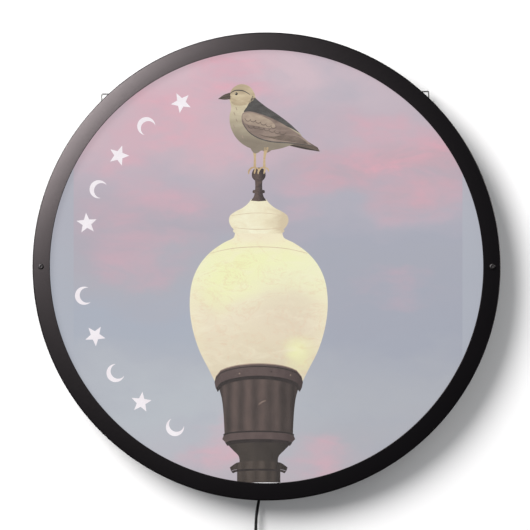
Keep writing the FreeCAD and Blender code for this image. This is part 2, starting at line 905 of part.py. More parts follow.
# ================================================================ low-voltage lead outside the box
cy = D["cord_y"]
switch_top = D["switch_z"] + D["switch_half_length"]
switch_bottom = D["switch_z"] - D["switch_half_length"]
column_back = cy + 3.7  # first and last layers of the coil
column_front = cy - 3.7
reach = math.sqrt(D["coil_outer_radius"] ** 2 - D["coil_turn_radius"] ** 2)
tube(
    "supply_cord",
    [
        (D["cord_x"], cy, D["cord_exit_z"]),
        (D["cord_x"], cy, -178.0),
        (D["drop_x"], cy, -203.0),
        (D["drop_x"], cy, switch_top),
    ],
    D["cord_radius"],
)
tube(
    "switch_cord",
    [
        (D["drop_x"], cy, switch_bottom),
        (D["drop_x"], cy, -276.0),
        (D["drop_x"], column_back - 0.2, -284.0),
        (D["drop_x"], column_back, D["coil_z"] + reach),
    ],
    D["cord_radius"],
)
tube(
    "tail_cord",
    [
        (D["drop_x"], column_front, D["coil_z"] - reach),
        (D["drop_x"], column_front + 0.2, -310.0),
        (D["drop_x"], cy, -318.5),
        (D["drop_x"], cy, D["relief_top_z"]),
    ],
    D["cord_radius"],
)

coil_x = D["drop_x"] + D["coil_turn_radius"]
body = make_body("cord_coil")
revolve(
    body,
    "cord_coil",
    [
        (term("coil_inner_radius"), term("coil_half_width", -1.0)),
        (term("coil_inner_radius", 1.0), term("coil_half_width")),
        (term("coil_outer_radius", -1.0), term("coil_half_width")),
        (term("coil_outer_radius"), term("coil_half_width", -1.0)),
        (term("coil_outer_radius"), 1.0 - D["coil_half_width"]),
        (term("coil_outer_radius", -1.0), -D["coil_half_width"]),
        (term("coil_inner_radius", 1.0), -D["coil_half_width"]),
        (term("coil_inner_radius"), 1.0 - D["coil_half_width"]),
    ],
)
body.Placement = Placement(Vector(coil_x, cy, D["coil_z"]), Rotation())
keep("cord_coil", body)

body = make_body("coil_tie")
sk = new_sketch(body, "tie_band", "XY_Plane", -3.0)
rectangle(sk, coil_x - 20.2, cy - 5.9, coil_x - 5.2, cy + 5.9)
band = pad(body, "tie_block", sk, 6.0)
band = fillet(body, "tie_corners", band, upright_edges(band, "z"), 1.4)
sk = new_sketch(body, "tie_inside", "XY_Plane", 0.0)
rectangle(sk, coil_x - 19.4, cy - 5.1, coil_x - 6.0, cy + 5.1)
pocket(body, "tie_opening", sk)
body.Placement = Placement(Vector(0, 0, D["coil_z"]), Rotation())
keep("coil_tie", body)

# ================================================================ rocker switch on the lead
sx, sz = D["drop_x"], D["switch_z"]
hw, hl, hd = D["switch_half_width"], D["switch_half_length"], D["switch_half_depth"]
wall = 1.6
SWITCH_BOSSES = [(sx + 5.2, sz + 15.5), (sx - 5.2, sz - 15.5)]


def switch_shell(name, front):
    """Half of the switch case. The halves meet on the lead's own centre line."""
    body = make_body(name)
    sk = new_sketch(body, name + "_outline", "XZ_Plane", -cy)
    rectangle(sk, sx - hw, sz - hl, sx + hw, sz + hl)
    solid = pad(body, name + "_block", sk, term("switch_half_depth"), reverse=not front)
    solid = fillet(body, name + "_corners", solid, upright_edges(solid, "y"), 4.0)
    outer_y = cy - hd if front else cy + hd
    rim = []
    for i, edge in enumerate(solid.Shape.Edges, start=1):
        if all(abs(v.Point.y - outer_y) < 1e-6 for v in edge.Vertexes):
            rim.append("Edge%d" % i)
    solid = fillet(body, name + "_edge", solid, rim, 1.4)
    sk = new_sketch(body, name + "_hollow", "XZ_Plane", -cy)
    rectangle(sk, sx - hw + wall, sz - hl + wall, sx + hw - wall, sz + hl - wall)
    pocket(body, name + "_cavity", sk, hd - wall, reverse=front)
    sk = new_sketch(body, name + "_bosses", "XZ_Plane", -cy)
    for x, z in SWITCH_BOSSES:
        circle(sk, x, z, 2.2)
    pad(body, name + "_boss_pads", sk, hd - wall, reverse=not front)
    if front:
        sk = new_sketch(body, name + "_ears", "XZ_Plane", -cy + 0.2)
        rectangle(sk, sx + 5.0, sz - 3.0, sx + hw - wall, sz + 3.0)
        rectangle(sk, sx - hw + wall, sz - 3.0, sx - 5.0, sz + 3.0)
        pad(body, name + "_ear_pads", sk, hd - wall - 0.2)
        sk = new_sketch(body, name + "_window", "XZ_Plane", -cy + hd + 1)
        rectangle(sk, sx - 5.0, sz - 8.4, sx + 5.0, sz + 8.4)
        pocket(body, name + "_window_cut", sk, wall + 1.1)
        sk = new_sketch(body, name + "_pivot", "YZ_Plane", sx)
        circle(sk, term("rocker_pivot_y"), term("switch_z"), 1.06)
        pocket(body, name + "_pivot_cut", sk, 13.4 / 2 + 0.05, reverse=True)
        sk = new_sketch(body, name + "_pivot2", "YZ_Plane", sx)
        circle(sk, term("rocker_pivot_y"), term("switch_z"), 1.06)
        pocket(body, name + "_pivot2_cut", sk, 13.4 / 2 + 0.05)
    sk = new_sketch(body, name + "_lead_way", "XY_Plane")
    circle(sk, term("drop_x"), term("cord_y"), 1.25)
    pocket(body, name + "_lead_cut", sk)
    sk = new_sketch(body, name + "_screw_way", "XZ_Plane", -cy)
    for x, z in SWITCH_BOSSES:
        circle(sk, x, z, 0.8 if front else 1.0)
    pocket(body, name + "_screw_cut", sk, hd - wall if front else hd + 1, reverse=front)
    if not front:
        sk = new_sketch(body, name + "_head_way", "XZ_Plane", -(cy + hd))
        for x, z in SWITCH_BOSSES:
            circle(sk, x, z, 2.0)
        pocket(body, name + "_head_cut", sk, 1.2, reverse=True)
    return keep(name, body)


switch_shell("switch_front_shell", True)
switch_shell("switch_back_shell", False)

body = make_body("switch_screw")
back = cy + hd
revolve(
    body,
    "switch_screw",
    [
        (0.0, back - 0.6),
        (0.7, back - 0.2),
        (1.7, back - 0.2),
        (1.9, back - 0.4),
        (1.9, back - 1.2),
        (0.8, back - 1.2),
        (0.8, back - 9.0),
        (0.0, back - 9.4),
    ],
)
keep(
    "switch_screws",
    copies("switch_screws_group", body, [Placement(Vector(x, 0, z), Rotation()) for x, z in SWITCH_BOSSES]),
)

# rocker: modelled level about its pivot, then tipped to its resting side
body = make_body("switch_rocker")
sk = new_sketch(body, "rocker_side", "YZ_Plane", -4.7)
polygon(
    sk,
    [
        (-4.4, -7.3),
        (-3.9, -6.2),
        (-3.1, -0.8),
        (-3.1, 0.8),
        (-3.9, 6.2),
        (-4.4, 7.3),
        (-1.2, 7.8),
        (0.0, 7.0),
        (1.4, 2.0),
        (1.4, -2.0),
        (0.0, -7.0),
        (-1.2, -7.8),
    ],
)
key = pad(body, "rocker_key", sk, 9.4)
sk = new_sketch(body, "rocker_pin_end", "YZ_Plane", -6.5)
circle(sk, 0.0, 0.0, 1.0)
pad(body, "rocker_pins", sk, 13.0)
body.Placement = Placement(
    Vector(sx, D["rocker_pivot_y"], sz), Rotation(Vector(1, 0, 0), D["rocker_tilt"])
)
keep("switch_rocker", body)

contacts = []
for i, dx in enumerate((-3.2, 3.2)):
    floor_y = cy + hd - wall
    leaf = block("contact_leaf_%d" % i, sx + dx - 1.2, floor_y - 0.5, sz - 9.0, sx + dx + 1.2, floor_y, sz + 9.0)
    post_ = block("contact_post_%d" % i, sx + dx - 1.2, floor_y - 2.6, sz - 9.0, sx + dx + 1.2, floor_y - 0.5, sz - 8.2)
    button = cylinder("contact_button_%d" % i, 1.0, 0.7, Vector(sx + dx, floor_y - 1.2, sz + 6.0))
    contacts.append(fuse("contact_%d" % i, [leaf, post_, button]))
keep("switch_contacts", group("switch_contacts_group", contacts))

# ================================================================ wall adapter
ax, aw = D["drop_x"], D["adapter_wall"]
left, right = ax - D["adapter_half_width"], ax + D["adapter_half_width"]
split = D["adapter_split_x"]
zt, zb = D["adapter_top_z"], D["adapter_bottom_z"]
yf, yb = D["adapter_front_y"], D["adapter_back_y"]
blade_y, blade_z = (yf + yb) / 2, (zt + zb) / 2 - 4.0


def adapter_half(name, outer):
    """Half of the adapter's case, split square to the blades."""
    body = make_body(name)
    sk = new_sketch(body, name + "_outline", "YZ_Plane", split)
    rectangle(sk, term("adapter_front_y"), zb, term("adapter_back_y"), zt)
    depth = (split - left) if outer else (right - split)
    solid = pad(body, name + "_block", sk, depth, reverse=outer)
    solid = fillet(body, name + "_corners", solid, upright_edges(solid, "x"), 5.0)
    face_x = left if outer else right
    rim = []
    for i, edge in enumerate(solid.Shape.Edges, start=1):
        if all(abs(v.Point.x - face_x) < 1e-6 for v in edge.Vertexes):
            rim.append("Edge%d" % i)
    solid = fillet(body, name + "_edge", solid, rim, 2.2)
    sk = new_sketch(body, name + "_hollow", "YZ_Plane", split)
    rectangle(sk, yf + aw, zb + aw, yb - aw, zt - aw)
    pocket(body, name + "_cavity", sk, depth - aw, reverse=not outer)
    if outer:
        sk = new_sketch(body, name + "_lead_way", "XY_Plane", zt + 1.0)
        circle(sk, term("drop_x"), term("cord_y"), 2.4)
        pocket(body, name + "_lead_cut", sk, aw + 1.5)
    else:
        sk = new_sketch(body, name + "_blade_way", "YZ_Plane", right + 1.0)
        for dy in (-6.35, 6.35):
            rectangle(sk, blade_y + dy - 0.75, blade_z - 3.15, blade_y + dy + 0.75, blade_z + 3.15)
        pocket(body, name + "_blade_cut", sk, aw + 1.5)
    return keep(name, body)


adapter_half("adapter_front_case", True)
adapter_half("adapter_rear_case", False)

blades = []
for i, dy in enumerate((-6.35, 6.35)):
    body = make_body("blade_%d" % i)
    sk = new_sketch(body, "blade_side_%d" % i, "XZ_Plane", -(blade_y + dy - 0.75))
    tip = right + 17.0
    polygon(
        sk,
        [
            (right - 5.0, blade_z - 3.15),
            (tip - 1.6, blade_z - 3.15),
            (tip, blade_z - 1.6),
            (tip, blade_z + 1.6),
            (tip - 1.6, blade_z + 3.15),
            (right - 5.0, blade_z + 3.15),
        ],
    )
    pad(body, "blade_leaf_%d" % i, sk, 1.5, reverse=True)
    sk = new_sketch(body, "blade_eye_%d" % i, "XZ_Plane")
    circle(sk, right + 12.0, blade_z, 1.6)
    pocket(body, "blade_hole_%d" % i, sk)
    blades.append(body)
keep("adapter_blades", group("adapter_blades_group", blades))

board = block("adapter_board_plate", ax - 1.0, yf + aw + 1.0, zb + aw + 1.5, ax + 0.6, yb - aw - 1.0, zt - 5.0)
keep("adapter_board", board)
core = block("transformer_core", ax - 10.8, yf + 5.0, zb + 6.0, ax - 1.0, yf + 21.0, zb + 22.0)
winding = block("transformer_winding", ax - 9.4, yf + 8.0, zb + 22.0, ax - 2.4, yf + 18.0, zb + 24.0)
winding2 = block("transformer_winding_low", ax - 9.4, yf + 8.0, zb + 4.0, ax - 2.4, yf + 18.0, zb + 6.0)
keep("adapter_transformer", fuse("adapter_transformer_fuse", [core, winding, winding2]))
caps = []
for i, (y, z) in enumerate(((yf + 9.0, zb + 33.0), (yf + 20.0, zb + 33.0), (yf + 27.0, zb + 12.0))):
    caps.append(cylinder("cap_%d" % i, 2.2 if i == 2 else 4.0, 8.5, Vector(ax - 9.5, y, z), Vector(1, 0, 0)))
keep("adapter_capacitors", group("adapter_capacitors_group", caps))

body = make_body("adapter_strain_relief")
revolve(
    body,
    "adapter_strain_relief",
    [
        (0.0, term("relief_top_z")),
        (1.9, term("relief_top_z")),
        (2.8, D["adapter_top_z"] + 1.6),
        (4.0, D["adapter_top_z"] + 1.3),
        (4.0, term("adapter_top_z")),
        (2.3, term("adapter_top_z")),
        (2.3, D["adapter_top_z"] - aw),
        (3.2, D["adapter_top_z"] - aw),
        (3.2, D["adapter_top_z"] - aw - 1.2),
        (0.0, D["adapter_top_z"] - aw - 1.2),
    ],
    role="XZ_Plane",
)
body.Placement = Placement(Vector(D["drop_x"], D["cord_y"], 0), Rotation())
keep("adapter_strain_relief", body)

# ================================================================ checks and export
doc.recompute()
for obj in doc.Objects:
    if "Invalid" in obj.State or "Error" in obj.State:
        raise RuntimeError("%s is %s" % (obj.Name, obj.State))
for name, obj in sorted(PARTS.items()):
    shape = obj.Shape
    if shape.isNull() or not shape.isValid() or not shape.Solids:
        raise RuntimeError(name + " is not a valid solid")
    if any(solid.Volume <= 0 for solid in shape.Solids):
        raise RuntimeError(name + " is inside out")
for name, obj in sorted(PARTS.items()):
    obj.Shape.exportStep(os.path.join("parts", name + ".step"))
    box = obj.Shape.BoundBox
    print(
        "%-22s solids %2d volume %10.1f  x %7.1f %7.1f  y %6.1f %6.1f  z %7.1f %7.1f"
        % (name, len(obj.Shape.Solids), obj.Shape.Volume, box.XMin, box.XMax, box.YMin, box.YMax, box.ZMin, box.ZMax)
    )
print(len(PARTS), "parts written")
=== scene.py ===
"""Looks of the round back-lit wall sign: stage, camera, lead, bezel, lit face and the finish of every piece."""

import math

import bmesh
import bpy
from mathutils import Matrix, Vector, noise


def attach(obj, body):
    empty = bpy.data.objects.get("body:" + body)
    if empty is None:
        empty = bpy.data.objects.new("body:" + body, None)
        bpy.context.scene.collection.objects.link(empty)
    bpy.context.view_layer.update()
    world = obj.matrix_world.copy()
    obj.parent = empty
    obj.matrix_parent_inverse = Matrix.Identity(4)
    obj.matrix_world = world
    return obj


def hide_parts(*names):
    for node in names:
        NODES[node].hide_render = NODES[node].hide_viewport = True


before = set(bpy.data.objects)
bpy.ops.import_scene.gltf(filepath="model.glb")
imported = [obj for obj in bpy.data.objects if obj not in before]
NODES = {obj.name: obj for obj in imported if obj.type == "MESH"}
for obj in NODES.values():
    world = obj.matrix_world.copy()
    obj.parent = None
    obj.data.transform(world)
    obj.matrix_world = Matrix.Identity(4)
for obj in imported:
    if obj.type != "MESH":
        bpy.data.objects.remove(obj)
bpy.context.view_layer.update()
MM = 0.001
scene = bpy.context.scene
collection = scene.collection

# ---------------------------------------------------------------- camera
RING_PLANE = -0.030
DISTANCE = 2.2
cam_data = bpy.data.cameras.new("camera")
cam_data.sensor_width = 36.0
cam_data.lens = 36.0 * DISTANCE / 0.43135
cam_data.clip_end = 50.0
cam = bpy.data.objects.new("camera", cam_data)
collection.objects.link(cam)
cam.location = (-0.00128, RING_PLANE - DISTANCE, 0.00120)
cam.rotation_euler = (math.pi / 2, 0.0, 0.0)
scene.camera = cam

# ---------------------------------------------------------------- the lead
CORD_D = 0.0024
cx, cy = -8.8, -6.4
coil_z, coil_x = -296.0, 9.2
route = [
    (-3.0, cy, -162.0),
    (-3.0, cy, -178.0),
    (-8.8, cy, -203.0),
    (-8.8, cy, -228.0),
    (-8.8, cy, -270.0),
    (-8.8, cy, -276.0),
    (-8.8, -2.9, -284.0),
]
# the put-away length: twenty turns wound in four layers, out and in again
PER_TURN = 16
SLOTS = [18.0, 15.55, 13.1, 10.65, 8.2]
LAYERS = [3.7, 1.23, -1.23, -3.7]
stations = []
for n, y in enumerate(LAYERS):
    order = SLOTS if n % 2 == 0 else SLOTS[::-1]
    stations += [(r, y) for r in order]
swell = 1.0 / (0.75 + 0.25 * math.cos(2 * math.pi / PER_TURN))
turns = []
total = len(stations) * PER_TURN
for i in range(total + 1):
    t = i / PER_TURN
    k = min(int(t), len(stations) - 1)
    f = t - k
    nxt = stations[min(k + 1, len(stations) - 1)]
    ease = max(0.0, min(1.0, (f - 0.55) / 0.45))
    ease = ease * ease * (3 - 2 * ease)
    r = stations[k][0] + (nxt[0] - stations[k][0]) * ease
    y = stations[k][1] + (nxt[1] - stations[k][1]) * ease
    angle = math.pi + 2 * math.pi * t
    wander = 0.16 * math.sin(2.0 * angle + 0.9 * k) * (1.0 - abs(2 * f - 1.0) * 0.4)
    r = (r + 0.5 * wander) * swell
    turns.append(
        (
            coil_x + r * math.cos(angle),
            cy + y + 0.10 * math.sin(3.0 * angle + 1.7 * k),
            coil_z + r * math.sin(angle),
        )
    )
route += turns
route += [
    (-8.8, -9.9, -310.0),
    (-8.8, cy, -318.5),
    (-8.8, cy, -326.0),
    (-8.8, cy, -330.0),
]
curve = bpy.data.curves.new("supply_lead", "CURVE")
curve.dimensions = "3D"
spline = curve.splines.new("NURBS")
spline.points.add(len(route) - 1)
for point, co in zip(spline.points, route):
    point.co = (co[0] * MM, co[1] * MM, co[2] * MM, 1.0)
    point.radius = 0.001
spline.order_u = 3
spline.use_endpoint_u = True
spline.resolution_u = 6
curve.bevel_depth = CORD_D / 2 / 0.001
curve.bevel_resolution = 5
curve.use_fill_caps = True
lead = bpy.data.objects.new("supply_lead", curve)
collection.objects.link(lead)
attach(lead, "sign")
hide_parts("supply_cord", "switch_cord", "cord_coil", "tail_cord")


# ---------------------------------------------------------------- material helpers
def new_material(name):
    m = bpy.data.materials.new(name)
    m.use_nodes = True
    nt = m.node_tree
    p = nt.nodes["Principled BSDF"]
    return m, nt, p


def node(nt, kind, **inputs):
    n = nt.nodes.new(kind)
    for key, val in inputs.items():
        n.inputs[key.replace("_", " ")].default_value = val
    return n


def coords(nt, scale=(1.0, 1.0, 1.0), location=(0.0, 0.0, 0.0)):
    tc = nt.nodes.new("ShaderNodeTexCoord")
    mp = nt.nodes.new("ShaderNodeMapping")
    mp.inputs["Scale"].default_value = scale
    mp.inputs["Location"].default_value = location
    nt.links.new(tc.outputs["Object"], mp.inputs["Vector"])
    return mp.outputs["Vector"]


def noise_of(nt, vector, scale, detail=3.0, rough=0.55, distortion=0.0):
    n = nt.nodes.new("ShaderNodeTexNoise")
    n.inputs["Scale"].default_value = scale
    n.inputs["Detail"].default_value = detail
    n.inputs["Roughness"].default_value = rough
    n.inputs["Distortion"].default_value = distortion
    nt.links.new(vector, n.inputs["Vector"])
    return n.outputs["Fac"]


def ramp(nt, fac, stops, smooth=False):
    r = nt.nodes.new("ShaderNodeValToRGB")
    if smooth:
        r.color_ramp.interpolation = "EASE"
    els = r.color_ramp.elements
    els[0].position, els[0].color = stops[0][0], (*stops[0][1], 1.0)
    els[1].position, els[1].color = stops[-1][0], (*stops[-1][1], 1.0)
    for pos, col in stops[1:-1]:
        e = els.new(pos)
        e.color = (*col, 1.0)
    nt.links.new(fac, r.inputs["Fac"])
    return r.outputs["Color"]


def spread(nt, fac, low, high, a=0.3, b=0.7):
    mr = nt.nodes.new("ShaderNodeMapRange")
    mr.inputs["From Min"].default_value = a
    mr.inputs["From Max"].default_value = b
    mr.inputs["To Min"].default_value = low
    mr.inputs["To Max"].default_value = high
    nt.links.new(fac, mr.inputs["Value"])
    return mr.outputs["Result"]


def math_node(nt, op, a, b=None, clamp=False):
    n = nt.nodes.new("ShaderNodeMath")
    n.operation = op
    n.use_clamp = clamp
    for i, x in enumerate((a, b)):
        if x is None:
            continue
        if isinstance(x, (int, float)):
            n.inputs[i].default_value = x
        else:
            nt.links.new(x, n.inputs[i])
    return n.outputs[0]


def mix_color(nt, fac, a, b):
    n = nt.nodes.new("ShaderNodeMix")
    n.data_type = "RGBA"
    if isinstance(fac, (int, float)):
        n.inputs[0].default_value = fac
    else:
        nt.links.new(fac, n.inputs[0])
    for sock, x in ((n.inputs[6], a), (n.inputs[7], b)):
        if isinstance(x, tuple):
            sock.default_value = (*x, 1.0)
        else:
            nt.links.new(x, sock)
    return n.outputs[2]


def bump(nt, height, distance, strength=1.0, normal=None):
    b = nt.nodes.new("ShaderNodeBump")
    b.inputs["Strength"].default_value = strength
    b.inputs["Distance"].default_value = distance
    nt.links.new(height, b.inputs["Height"])
    if normal is not None:
        nt.links.new(normal, b.inputs["Normal"])
    return b.outputs["Normal"]


def lin(r, g, b):
    """Display colour, 0 to 255, to linear."""
    out = []
    for c in (r, g, b):
        c = c / 255.0
        out.append(c / 12.92 if c <= 0.04045 else ((c + 0.055) / 1.055) ** 2.4)
    return tuple(out)


def finish(
    name,
    base,
    rough=0.5,
    metallic=0.0,
    vary=0.10,
    patch=25.0,
    grain=900.0,
    depth=0.00004,
    rough_vary=0.08,
    stretch=(1.0, 1.0, 1.0),
    specular=0.5,
    sheen=0.0,
    coat=0.0,
):
    """A coated, moulded or rolled surface: slow colour drift, fine grain in roughness and relief."""
    m, nt, p = new_material(name)
    v = coords(nt)
    slow = noise_of(nt, v, patch, 4.0)
    low = tuple(max(0.0, c * (1 - vary)) for c in base)
    high = tuple(min(1.0, c * (1 + vary)) for c in base)
    nt.links.new(ramp(nt, slow, [(0.3, low), (0.7, high)]), p.inputs["Base Color"])
    vs = coords(nt, stretch)
    fine = noise_of(nt, vs, grain, 2.0, 0.6)
    nt.links.new(spread(nt, fine, max(0.02, rough - rough_vary), rough + rough_vary), p.inputs["Roughness"])
    nt.links.new(bump(nt, fine, depth), p.inputs["Normal"])
    p.inputs["Metallic"].default_value = metallic
    p.inputs["Specular IOR Level"].default_value = specular
    if sheen:
        p.inputs["Sheen Weight"].default_value = sheen
    if coat:
        p.inputs["Coat Weight"].default_value = coat
        p.inputs["Coat Roughness"].default_value = 0.12
    return m


# ---------------------------------------------------------------- mesh helpers
def mesh_object(name, verts, faces, smooth=True, split=None):
    me = bpy.data.meshes.new(name)
    me.from_pydata([tuple(v) for v in verts], [], faces)
    me.validate()
    if smooth:
        me.polygons.foreach_set("use_smooth", [True] * len(me.polygons))
        if split is not None:
            me.set_sharp_from_angle(angle=math.radians(split))
    o = bpy.data.objects.new(name, me)
    collection.objects.link(o)
    return o


def fix_normals(o):
    bm = bmesh.new()
    bm.from_mesh(o.data)
    bmesh.ops.recalc_face_normals(bm, faces=bm.faces)
    bm.to_mesh(o.data)
    bm.free()


def round_corners(points, radius, steps=4):
    """Rounds every corner of a closed outline."""
    out = []
    n = len(points)
    for i in range(n):
        p = Vector(points[i][:2])
        rad = points[i][2] if len(points[i]) > 2 else radius
        a = Vector(points[i - 1][:2]) - p
        b = Vector(points[(i + 1) % n][:2]) - p
        if rad <= 0 or a.length < 1e-9 or b.length < 1e-9:
            out.append(tuple(p))
            continue
        turn = math.pi - a.angle(b)
        trim = min(rad * math.tan(turn / 2), a.length * 0.48, b.length * 0.48)
        s, e = p + a.normalized() * trim, p + b.normalized() * trim
        for k in range(steps + 1):
            t = k / steps
            q = s * (1 - t) ** 2 + p * 2 * t * (1 - t) + e * t * t
            out.append(tuple(q))
    return out


def lathe(name, profile, segments=256, centre=(0.0, 0.0, 0.0), axis="Y", split=28):
    """Turns a closed outline of (radius, along) about an axis. Sizes in millimetres."""
    verts, faces = [], []
    n = len(profile)
    for i in range(segments):
        a = 2 * math.pi * i / segments
        c, s = math.cos(a), math.sin(a)
        for r, h in profile:
            if axis == "Y":
                q = (centre[0] + r * c, centre[1] + h, centre[2] + r * s)
            elif axis == "Z":
                q = (centre[0] + r * c, centre[1] + r * s, centre[2] + h)
            else:
                q = (centre[0] + h, centre[1] + r * c, centre[2] + r * s)
            verts.append((q[0] * MM, q[1] * MM, q[2] * MM))
    for i in range(segments):
        j = (i + 1) % segments
        for k in range(n):
            l = (k + 1) % n
            faces.append((i * n + k, i * n + l, j * n + l, j * n + k))
    o = mesh_object(name, verts, faces)
    bm = bmesh.new()
    bm.from_mesh(o.data)
    bmesh.ops.remove_doubles(bm, verts=bm.verts, dist=1e-8)
    bmesh.ops.dissolve_degenerate(bm, edges=bm.edges, dist=1e-9)
    bmesh.ops.recalc_face_normals(bm, faces=bm.faces)
    bm.to_mesh(o.data)
    bm.free()
    o.data.set_sharp_from_angle(angle=math.radians(split))
    return o


def flow(points, closed=True, steps=7):
    """A smooth line through given points; a third value of 0 keeps a point as a sharp corner."""
    n = len(points)
    out = []
    spans = n if closed else n - 1
    for i in range(spans):
        idx = [(i - 1) % n, i % n, (i + 1) % n, (i + 2) % n] if closed else [max(i - 1, 0), i, i + 1, min(i + 2, n - 1)]
        p0, p1, p2, p3 = (Vector(points[k][:2]) for k in idx)
        sharp1 = len(points[idx[1]]) > 2 and points[idx[1]][2] == 0
        sharp2 = len(points[idx[2]]) > 2 and points[idx[2]][2] == 0
        m1 = (p2 - p1) * 0.6 if sharp1 else (p2 - p0) * 0.5
        m2 = (p2 - p1) * 0.6 if sharp2 else (p3 - p1) * 0.5
        # keep the tangents no longer than the span itself
        span = (p2 - p1).length
        if m1.length > span:
            m1 = m1.normalized() * span
        if m2.length > span:
            m2 = m2.normalized() * span
        for k in range(steps):
            t = k / steps
            h1, h2 = 2 * t**3 - 3 * t**2 + 1, t**3 - 2 * t**2 + t
            h3, h4 = -2 * t**3 + 3 * t**2, t**3 - t**2
            out.append(tuple(p1 * h1 + m1 * h2 + p2 * h3 + m2 * h4))
    if not closed:
        out.append(tuple(points[-1][:2]))
    return out


def slab(name, outline, front, back):
    """A thin closed plate with that outline in x, z and its faces at two depths. Millimetres."""
    bm = bmesh.new()
    low = [bm.verts.new((x * MM, back * MM, z * MM)) for x, z in outline]
    high = [bm.verts.new((x * MM, front * MM, z * MM)) for x, z in outline]
    n = len(outline)
    f1 = bm.faces.new(high)
    f2 = bm.faces.new(low[::-1])
    for i in range(n):
        j = (i + 1) % n
        bm.faces.new((high[j], high[i], low[i], low[j]))
    bmesh.ops.recalc_face_normals(bm, faces=bm.faces)
    bmesh.ops.triangulate(bm, faces=[f for f in bm.faces if len(f.verts) > 4], quad_method="BEAUTY", ngon_method="BEAUTY")
    me = bpy.data.meshes.new(name)
    bm.to_mesh(me)
    bm.free()
    o = bpy.data.objects.new(name, me)
    collection.objects.link(o)
    return o


def give(o, mat):
    o.data.materials.clear()
    o.data.materials.append(mat)
    return o


# ---------------------------------------------------------------- finishes
powder, nt, p = new_material("powder_black")
v = coords(nt)
orange = noise_of(nt, v, 420.0, 2.0, 0.5)
fine = noise_of(nt, v, 1700.0, 2.0, 0.6)
mottle = noise_of(nt, v, 9.0, 4.0)
nt.links.new(ramp(nt, mottle, [(0.3, (0.0016, 0.0016, 0.0024)), (0.7, (0.0024, 0.0023, 0.0032))]), p.inputs["Base Color"])
nt.links.new(spread(nt, fine, 0.33, 0.43), p.inputs["Roughness"])
height = math_node(nt, "ADD", math_node(nt, "MULTIPLY", orange, 0.7), math_node(nt, "MULTIPLY", fine, 0.3))
nt.links.new(bump(nt, height, 0.00003, 0.55), p.inputs["Normal"])
p.inputs["Specular IOR Level"].default_value = 0.70
p.inputs["Specular Tint"].default_value = (1.0, 0.88, 0.90, 1.0)
POWDER = powder

PAN = finish("pan_black", (0.012, 0.012, 0.013), rough=0.46, vary=0.2, grain=1300.0, depth=0.00003, rough_vary=0.07)
ZINC = finish("zinc_plate", (0.50, 0.50, 0.48), rough=0.36, metallic=0.55, vary=0.10, patch=160.0, grain=700.0, depth=0.000006, rough_vary=0.08)
WIRE = finish("wire_steel", (0.36, 0.36, 0.35), rough=0.32, metallic=0.7, vary=0.12, patch=400.0, grain=1500.0, depth=0.00001, rough_vary=0.10)
SCREW = finish("screw_black_zinc", (0.085, 0.080, 0.082), rough=0.50, metallic=0.9, vary=0.25, patch=700.0, grain=2500.0, depth=0.00001)
FOAM = finish("gasket_foam", (0.010, 0.010, 0.010), rough=0.85, vary=0.2, grain=1800.0, depth=0.00008)
WHITE = finish("white_moulding", (0.80, 0.80, 0.78), rough=0.45, vary=0.04, grain=600.0, depth=0.00002)
REFLECT = finish("reflector_white", (0.88, 0.88, 0.88), rough=0.55, vary=0.03, grain=900.0, depth=0.00001)
BOARD_WHITE = finish("led_board_white", (0.82, 0.82, 0.80), rough=0.38, vary=0.05, grain=500.0, depth=0.00001)
WIRE_RED = finish("wire_insulation", (0.36, 0.02, 0.02), rough=0.42, vary=0.10, grain=900.0, depth=0.00001)
TERMINAL = finish("terminal_green", (0.03, 0.22, 0.08), rough=0.42, vary=0.10, grain=900.0, depth=0.00002)
CASE = finish("case_abs", (0.016, 0.016, 0.017), rough=0.48, vary=0.15, patch=60.0, grain=1500.0, depth=0.00006, rough_vary=0.06)
GLOSSY = finish("rocker_gloss", (0.010, 0.010, 0.010), rough=0.16, vary=0.2, grain=500.0, depth=0.000004, rough_vary=0.04)
BRASS = finish("contact_brass", (0.62, 0.42, 0.16), rough=0.28, metallic=0.7, vary=0.12, patch=200.0, grain=900.0, depth=0.00001)
NICKEL = finish("blade_nickel", (0.60, 0.58, 0.53), rough=0.26, metallic=0.6, vary=0.10, patch=90.0, grain=500.0, depth=0.000008, stretch=(0.15, 1.0, 1.0))
PCB = finish("board_green", (0.02, 0.13, 0.04), rough=0.35, vary=0.2, patch=200.0, grain=900.0, depth=0.00002)
CORE = finish("ferrite", (0.045, 0.045, 0.047), rough=0.6, vary=0.2, grain=1200.0, depth=0.00005)
CAN = finish("can_sleeve", (0.03, 0.045, 0.12), rough=0.3, vary=0.1, grain=500.0, depth=0.00001)
CORD = finish("cord_pvc", (0.009, 0.009, 0.010), rough=0.40, vary=0.2, patch=120.0, grain=1500.0, depth=0.00002, rough_vary=0.08)

# hook-and-loop: a napped weave
TIE, nt, p = new_material("tie_nap")
v = coords(nt)
nap = noise_of(nt, v, 2600.0, 3.0, 0.7)
cells = nt.nodes.new("ShaderNodeTexVoronoi")
cells.inputs["Scale"].default_value = 1500.0
nt.links.new(v, cells.inputs["Vector"])
nt.links.new(ramp(nt, nap, [(0.25, (0.006, 0.006, 0.006)), (0.75, (0.035, 0.035, 0.036))]), p.inputs["Base Color"])
p.inputs["Roughness"].default_value = 0.9
p.inputs["Sheen Weight"].default_value = 0.35
hh = math_node(nt, "ADD", nap, cells.outputs["Distance"])
nt.links.new(bump(nt, hh, 0.00018, 0.9), p.inputs["Normal"])

